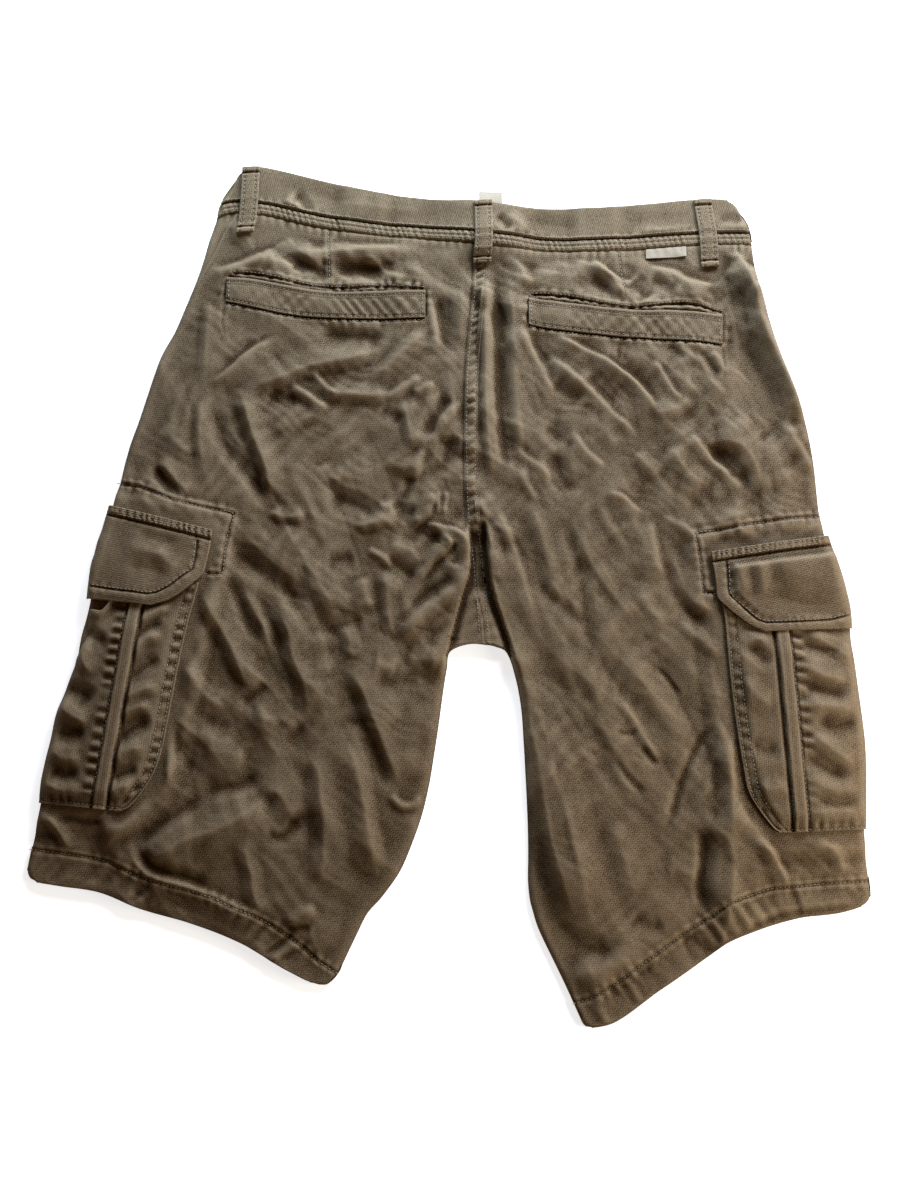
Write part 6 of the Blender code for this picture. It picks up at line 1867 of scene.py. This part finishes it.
def pocket_face(side, x, y):
    """Height of a cargo pocket's outer face."""
    # distances from the inner edge, out from the pleat and up from the foot, and the share across
    inner = curve([(row[2], row[1]) for row in POCKETS[side]], y)
    outer = curve(side_edge(side), y)
    edge = (x - inner) * side
    (x0, y0), (x1, y1) = PLEATS[side]
    out = (x - mix(x0, x1, (y - y0) / (y1 - y0))) * side
    up = y - curve(POCKET_FEET[side], x)
    across = edge / np.maximum((outer - inner) * side, 1.0)
    puff = 3.0 * ease(edge / 14.0) * ease((1.15 - across) / 0.3)
    puff = puff * ease((y0 + 6.0 - y) / 26.0) * ease(up / 16.0)
    # folds, where no seam or pleat holds the cloth
    free = ease((edge - 7.0) / 5.0) * ease((up - 2.0) / 8.0)
    free = free * ease(np.abs(out - PLEAT_WIDTH / 2) / 3.0 - 1.9)
    relief = free * local_folds(POCKET_FOLDS[side], x, y)
    # the pleat, and the gathers along its outer side
    strip = ease((out + 0.5) / 1.1) * ease((PLEAT_WIDTH + 0.5 - out) / 1.1)
    relief += 1.5 * strip - 1.7 * bell(out + 1.4, 1.3) - 0.9 * bell(out - PLEAT_WIDTH - 1.2, 0.9)
    gathers = ease((out - PLEAT_WIDTH - 1.0) / 1.5) * ease((PLEAT_WIDTH + 13.0 - out) / 7.0)
    gathers = gathers * ease((up - 6.0) / 10.0)
    if side > 0:
        gathers = gathers * (0.3 + 0.7 * ease((y + 142.0) / 16.0))
    relief += 1.1 * gathers * waver(y + 0.1 * x, 9.4, 111 + side)
    # the stitched inner edge and the foot
    hem = ease((edge - 1.0) / 1.5) * ease((9.0 - edge) / 2.5) * ease(up / 10.0)
    ripples = (0.8 - 0.25 * side) * hem * waver(y, 9.6, 115 + side)
    relief += ripples - 0.5 * (bell(edge - 1.8, 0.7) + bell(edge - 7.6, 0.8))
    relief += 0.5 * waver(x, 8.5, 118 + side) * bell(up - 5.0, 4.0) - 0.6 * bell(up - 2.2, 0.8)
    relief += 0.3 * cloudy(x, y, 12.0, 119) * ease(edge / 6.0)
    return BACK_TOP + PUFF + lift(x, y) + swell(x, y) + 0.6 + POCKET_LIFT + puff + relief


def drooped(grid):
    """The left pocket's mouth, which hangs open by the side edge."""
    x, y, z = (grid[..., k] for k in range(3))
    rows = np.linspace(0.0, 1.0, grid.shape[0])[:, None]
    lowered = y - 38.0 * ease((-250.0 - x) / 26.0) * (1.0 - ease(rows / 0.5))
    inside = ease((x - curve(side_edge(-1), lowered)) / 4.0)
    shift = pocket_face(-1, x, lowered) - pocket_face(-1, x, y)
    rim = 3.4 * ease((-252.0 - x) / 8.0) * bell(rows, 0.035)
    return np.stack([x, lowered, z + inside * shift + rim], axis=-1)


def pocket_stitches(side, name, settings):
    """Stitching of a pocket: two lines by its inner edge, one beside its pleat and one along its foot."""
    def top(x, y):
        return pocket_face(side, x, y) + STITCH_RISE

    inner = [(row[1], row[2]) for row in POCKETS[side][2 if side < 0 else 4:-2]]
    lines = [([(x + side * off, y) for x, y in inner], top, 0.0) for off in (1.8, 7.6)]
    (x0, y0), (x1, y1) = PLEATS[side]
    points = [(mix(x0, x1, s) + side * (PLEAT_WIDTH + 1.2), mix(y0, y1, s)) for s in (0.04, 0.3, 0.6, 0.96)]
    lines.append((points, top, 0.0))
    ends = (-314.0, -254.0) if side < 0 else (256.0, 320.0)
    points = [(x, float(curve(POCKET_FEET[side], x)) + 2.2) for x in np.linspace(*ends, 7)]
    lines.append((points, top, 0.0))
    return add_stitches("cargo_pocket_stitches_" + name, lines, settings)


class SHORTS_OT_cargo_pockets(bpy.types.Operator):
    """Make the two cargo pockets with their pleats and gathers, and the left one's gaping mouth"""

    bl_idname = "shorts.cargo_pockets"
    bl_label = "Cargo pockets"

    def execute(self, context):
        settings = sizes()
        for side, name in SIDES:
            over, beneath = patch_grids(side, POCKETS[side], settings.trim_cell / MM * 1.15,
                                        lambda x, y: pocket_face(side, x, y), POCKET_LIFT)
            if side < 0:
                over, beneath = drooped(over), drooped(beneath)
            over = turned_side(over, 0.6, 1.3, "first")
            over = turned_edge(turned_edge(over, 0.6, 1.4), 0.7, 1.2, "first")
            piece = add_cloth("cargo_pocket_cloth_" + name, [over, beneath], [side < 0, side < 0],
                              "pocket cloth", "cargo_pocket_" + name)
            pocket_stitches(side, name, settings)
        return {"FINISHED"}


# --- Cargo flaps ----------------------------------------------------------------------------------
def flap_face(side, x, y):
    """Height of a flap's outer face."""
    side_y, inner_x, inner_y = FLAPS[side][0]
    edge_x = float(curve(side_edge(side), side_y))
    down = mix(side_y, inner_y, (x - edge_x) / (inner_x - edge_x)) - y
    away, to_left, along, _ = near_path(FLAP_BORDERS[side], x, y)
    inside = np.where(to_left * -side > 0, 1.0, -1.0) * away
    # it stands higher where the pocket bulges under it
    base = BACK_TOP + PUFF + lift(x, y) + swell(x, y) + 0.6 + 2 * POCKET_LIFT
    base += (1.6 - 0.6 * side) * ease((down - 14.0) / 40.0) * ease(np.abs(x - inner_x) / 16.0)
    relief = 0.95 * local_folds(FLAP_FOLDS[side], x, y)
    relief = relief * ease((down - 9.0) / 8.0) * ease((inside - 1.0) / 6.0)
    # the stitched border
    relief -= 1.3 * bell(away, 0.85)
    relief += 0.55 * bell(inside + 4.0, 3.0) + 0.3 * waver(along, 8.0, 121 + side) * bell(away - 2.4, 2.4)
    # the top band with its two lines of stitches
    strip = ease((FLAP_BAND - down) / 1.0)
    stitched = bell(down - 1.6, 0.6) + bell(down - 5.2, 0.6)
    relief += 1.0 * strip - 1.6 * bell(down - FLAP_BAND - 0.8, 1.0) - 0.35 * stitched
    relief += 0.7 * strip * waver(x, 5.0, 125 + side)
    relief += 0.3 * cloudy(x, y, 14.0, 127)
    return base + relief


def flap_stitches(side, name, settings):
    """Stitching of a flap: round its border and in two lines along its top band."""
    def top(x, y):
        return flap_face(side, x, y) + STITCH_RISE

    side_y, inner_x, inner_y = FLAPS[side][0]
    edge_x = float(curve(side_edge(side), side_y))
    lines = [(FLAP_BORDERS[side], top, 1.4 * -side)]
    for down in (1.6, 5.2):
        points = [(mix(edge_x, inner_x, s), mix(side_y, inner_y, s) - down) for s in (0.08, 0.5, 0.97)]
        lines.append((points, top, 0.0))
    return add_stitches("cargo_flap_stitches_" + name, lines, settings)


class SHORTS_OT_cargo_flaps(bpy.types.Operator):
    """Make the two flaps with their stitched top bands and borders"""

    bl_idname = "shorts.cargo_flaps"
    bl_label = "Cargo flaps"

    def execute(self, context):
        settings = sizes()
        for side, name in SIDES:
            over, beneath = patch_grids(side, FLAPS[side], settings.trim_cell / MM * 0.9,
                                        lambda x, y: flap_face(side, x, y), 2.0 * POCKET_LIFT)
            over = turned_side(over, 0.8, 1.6, "first")
            over = turned_edge(turned_edge(over, 0.9, 1.6), 0.6, 2.6, "first")
            piece = add_cloth("cargo_flap_cloth_" + name, [over, beneath], [side < 0, side < 0],
                              "flap cloth", "cargo_flap_" + name)
            flap_stitches(side, name, settings)
        return {"FINISHED"}


# --- Small pieces ---------------------------------------------------------------------------------
def add_label(name, corners, base):
    """A blank label on a height, from its corners and its flat depth in metres."""
    (ax, ay), (bx, by), (cx, cy), (dx, dy) = corners
    u, v = np.meshgrid(np.linspace(0.0, 1.0, 40), np.linspace(0.0, 1.0, 14))
    x = mix(mix(dx, cx, u), mix(ax, bx, u), v)
    y = mix(mix(dy, cy, u), mix(ay, by, u), v)
    z = base(x, y) + 0.25 * np.sin(u * 7.0) * (1.0 - v) + 0.3 * (1 - v) ** 2
    z -= 0.12 * bell(np.abs(v - 0.5) - 0.42, 0.04)
    grid = turned_ends(turned_sides(np.stack([x, y, z], axis=-1), 0.25, 0.3), 0.25, 0.3)
    piece = add_cloth("cloth_" + name, [grid], [False], "label ribbon", name)


class SHORTS_OT_small_pieces(bpy.types.Operator):
    """Make the fly's lap and the two blank labels, and finish the button"""

    bl_idname = "shorts.small_pieces"
    bl_label = "Fly, button and labels"

    def execute(self, context):
        settings = sizes()
        button = frame["nodes"]["waist_button"].data.materials
        button.clear()
        button.append(finish("horn"))
        x0, x1, y0, y1 = FLY
        x, y = np.meshgrid(np.linspace(x0, x1, 24), np.linspace(y0, y1, 90))
        grid = face_down(x, y, 0.05 + 0.12 * bell(np.abs(x - x1) - 4.0, 0.8))
        piece = add_cloth("fly_cloth", [grid], [True], "front cloth", "fly_placket")
        add_label("flag_label", FLAG_LABEL,
                  lambda x, y: back_top(1, x, y, settings) + LAY_GAP + 0.5)
        add_label("size_tag", SIZE_TAG,
                  lambda x, y: BAND_TOP + lift(x, y) + lap_lift(x, y) - BAND_WALL + 0.6)
        return {"FINISHED"}


# --- Studio ---------------------------------------------------------------------------------------
def add_floor(colour):
    """A pale floor that glows a little, just below the part."""
    mesh = bpy.data.meshes.new("floor")
    mesh.from_pydata([(x, y, 0) for x, y in ((-4, -4), (4, -4), (4, 4), (-4, 4))], [], [(0, 1, 2, 3)])
    floor = bpy.data.objects.new("floor", mesh)
    floor.location.z = -0.0004
    bpy.context.scene.collection.objects.link(floor)
    material = bpy.data.materials.new("floor paper")
    material.use_nodes = True
    tree = material.node_tree
    surface = tree.nodes["Principled BSDF"]
    mottle = noise(tree, tree.nodes.new("ShaderNodeTexCoord").outputs["Object"], 30.0, 3.0)
    tint = blended(tree, mottle, (*[c * 0.985 for c in colour], 1.0), (*colour, 1.0))
    tree.links.new(tint, surface.inputs["Base Color"])
    surface.inputs["Roughness"].default_value = 0.9
    surface.inputs["Emission Color"].default_value = (*colour, 1.0)
    surface.inputs["Emission Strength"].default_value = 0.8
    mesh.materials.append(material)


def add_lamp(name, power, wide, deep, place, target, colour):
    """A rectangular lamp that points at its target."""
    lamp = bpy.data.lights.new(name, "AREA")
    lamp.energy = power
    lamp.shape = "RECTANGLE"
    lamp.size = wide
    lamp.size_y = deep
    lamp.color = colour
    holder = bpy.data.objects.new(name, lamp)
    holder.location = place
    way = Vector(target) - holder.location
    holder.rotation_euler = way.to_track_quat("-Z", "Y").to_euler()
    bpy.context.scene.collection.objects.link(holder)


def set_world(studio):
    """Even, warm light from the room, and a pale backdrop wherever the camera looks past the floor."""
    world = bpy.data.worlds.new("room")
    world.use_nodes = True
    tree = world.node_tree
    room = tree.nodes["Background"]
    room.inputs["Color"].default_value = (1.0, 0.64, 0.3, 1.0)
    room.inputs["Strength"].default_value = studio.room_light
    backdrop = add_node(tree, "ShaderNodeBackground", {"Color": (*studio.floor, 1.0), "Strength": 0.9})
    seen = tree.nodes.new("ShaderNodeLightPath").outputs["Is Camera Ray"]
    both = add_node(tree, "ShaderNodeMixShader", {0: seen, 1: room.outputs[0], 2: backdrop.outputs[0]})
    tree.links.new(both.outputs[0], tree.nodes["World Output"].inputs["Surface"])
    bpy.context.scene.world = world


def add_camera():
    """The camera, a metre off, tilted a little from straight down."""
    lens = bpy.data.cameras.new("camera")
    lens.lens = 37.5
    lens.sensor_width = 36.0
    camera = bpy.data.objects.new("camera", lens)
    across, along = CAMERA_MIDDLE
    camera.location = (across, along - math.sin(CAMERA_TILT), math.cos(CAMERA_TILT))
    camera.rotation_euler = (CAMERA_TILT, 0.0, 0.0)
    bpy.context.scene.collection.objects.link(camera)
    bpy.context.scene.camera = camera


class SHORTS_OT_studio(bpy.types.Operator):
    """Make the pale floor, the soft lights and the camera"""

    bl_idname = "shorts.studio"
    bl_label = "Studio"

    def execute(self, context):
        studio = context.scene.shorts_studio
        add_floor(studio.floor)
        for name, setting, *rest in LAMPS:
            add_lamp(name, getattr(studio, setting), *rest)
        set_world(studio)
        context.scene.view_settings.view_transform = "Standard"
        add_camera()
        return {"FINISHED"}


# --- The add-on -----------------------------------------------------------------------------------
class SHORTS_PT_panel(bpy.types.Panel):
    """Buttons and settings of the cargo shorts"""

    bl_label = "Cargo shorts"
    bl_idname = "SHORTS_PT_panel"
    bl_space_type = "VIEW_3D"
    bl_region_type = "UI"
    bl_category = "Shorts"

    def draw(self, context):
        for maker in OPERATORS:
            self.layout.operator(maker.bl_idname)
        for name in SETTINGS:
            group = getattr(context.scene, name)
            box = self.layout.box()
            for setting in group.__annotations__:
                box.prop(group, setting)


OPERATORS = (
    SHORTS_OT_studio, SHORTS_OT_front_panels, SHORTS_OT_back_panels, SHORTS_OT_waistband,
    SHORTS_OT_belt_loops, SHORTS_OT_welts, SHORTS_OT_cargo_pockets, SHORTS_OT_cargo_flaps,
    SHORTS_OT_small_pieces,
)
SETTINGS = {"shorts_sizes": ShortsSizes, "shorts_colours": ShortsColours, "shorts_studio": ShortsStudio}
CLASSES = (*SETTINGS.values(), *OPERATORS, SHORTS_PT_panel)


def register():
    """Adds the classes to Blender and the settings to its scenes."""
    for item in CLASSES:
        bpy.utils.register_class(item)
    for name, group in SETTINGS.items():
        setattr(bpy.types.Scene, name, bpy.props.PointerProperty(type=group))


def unregister():
    """Takes them out again."""
    for name in SETTINGS:
        delattr(bpy.types.Scene, name)
    for item in reversed(CLASSES):
        bpy.utils.unregister_class(item)


def main():
    """Runs every operator in order."""
    register()
    for maker in OPERATORS:
        family, name = maker.bl_idname.split(".")
        if getattr(getattr(bpy.ops, family), name)() != {"FINISHED"}:
            raise RuntimeError(maker.bl_label + " could not be made")


if __name__ == "__main__":
    main()
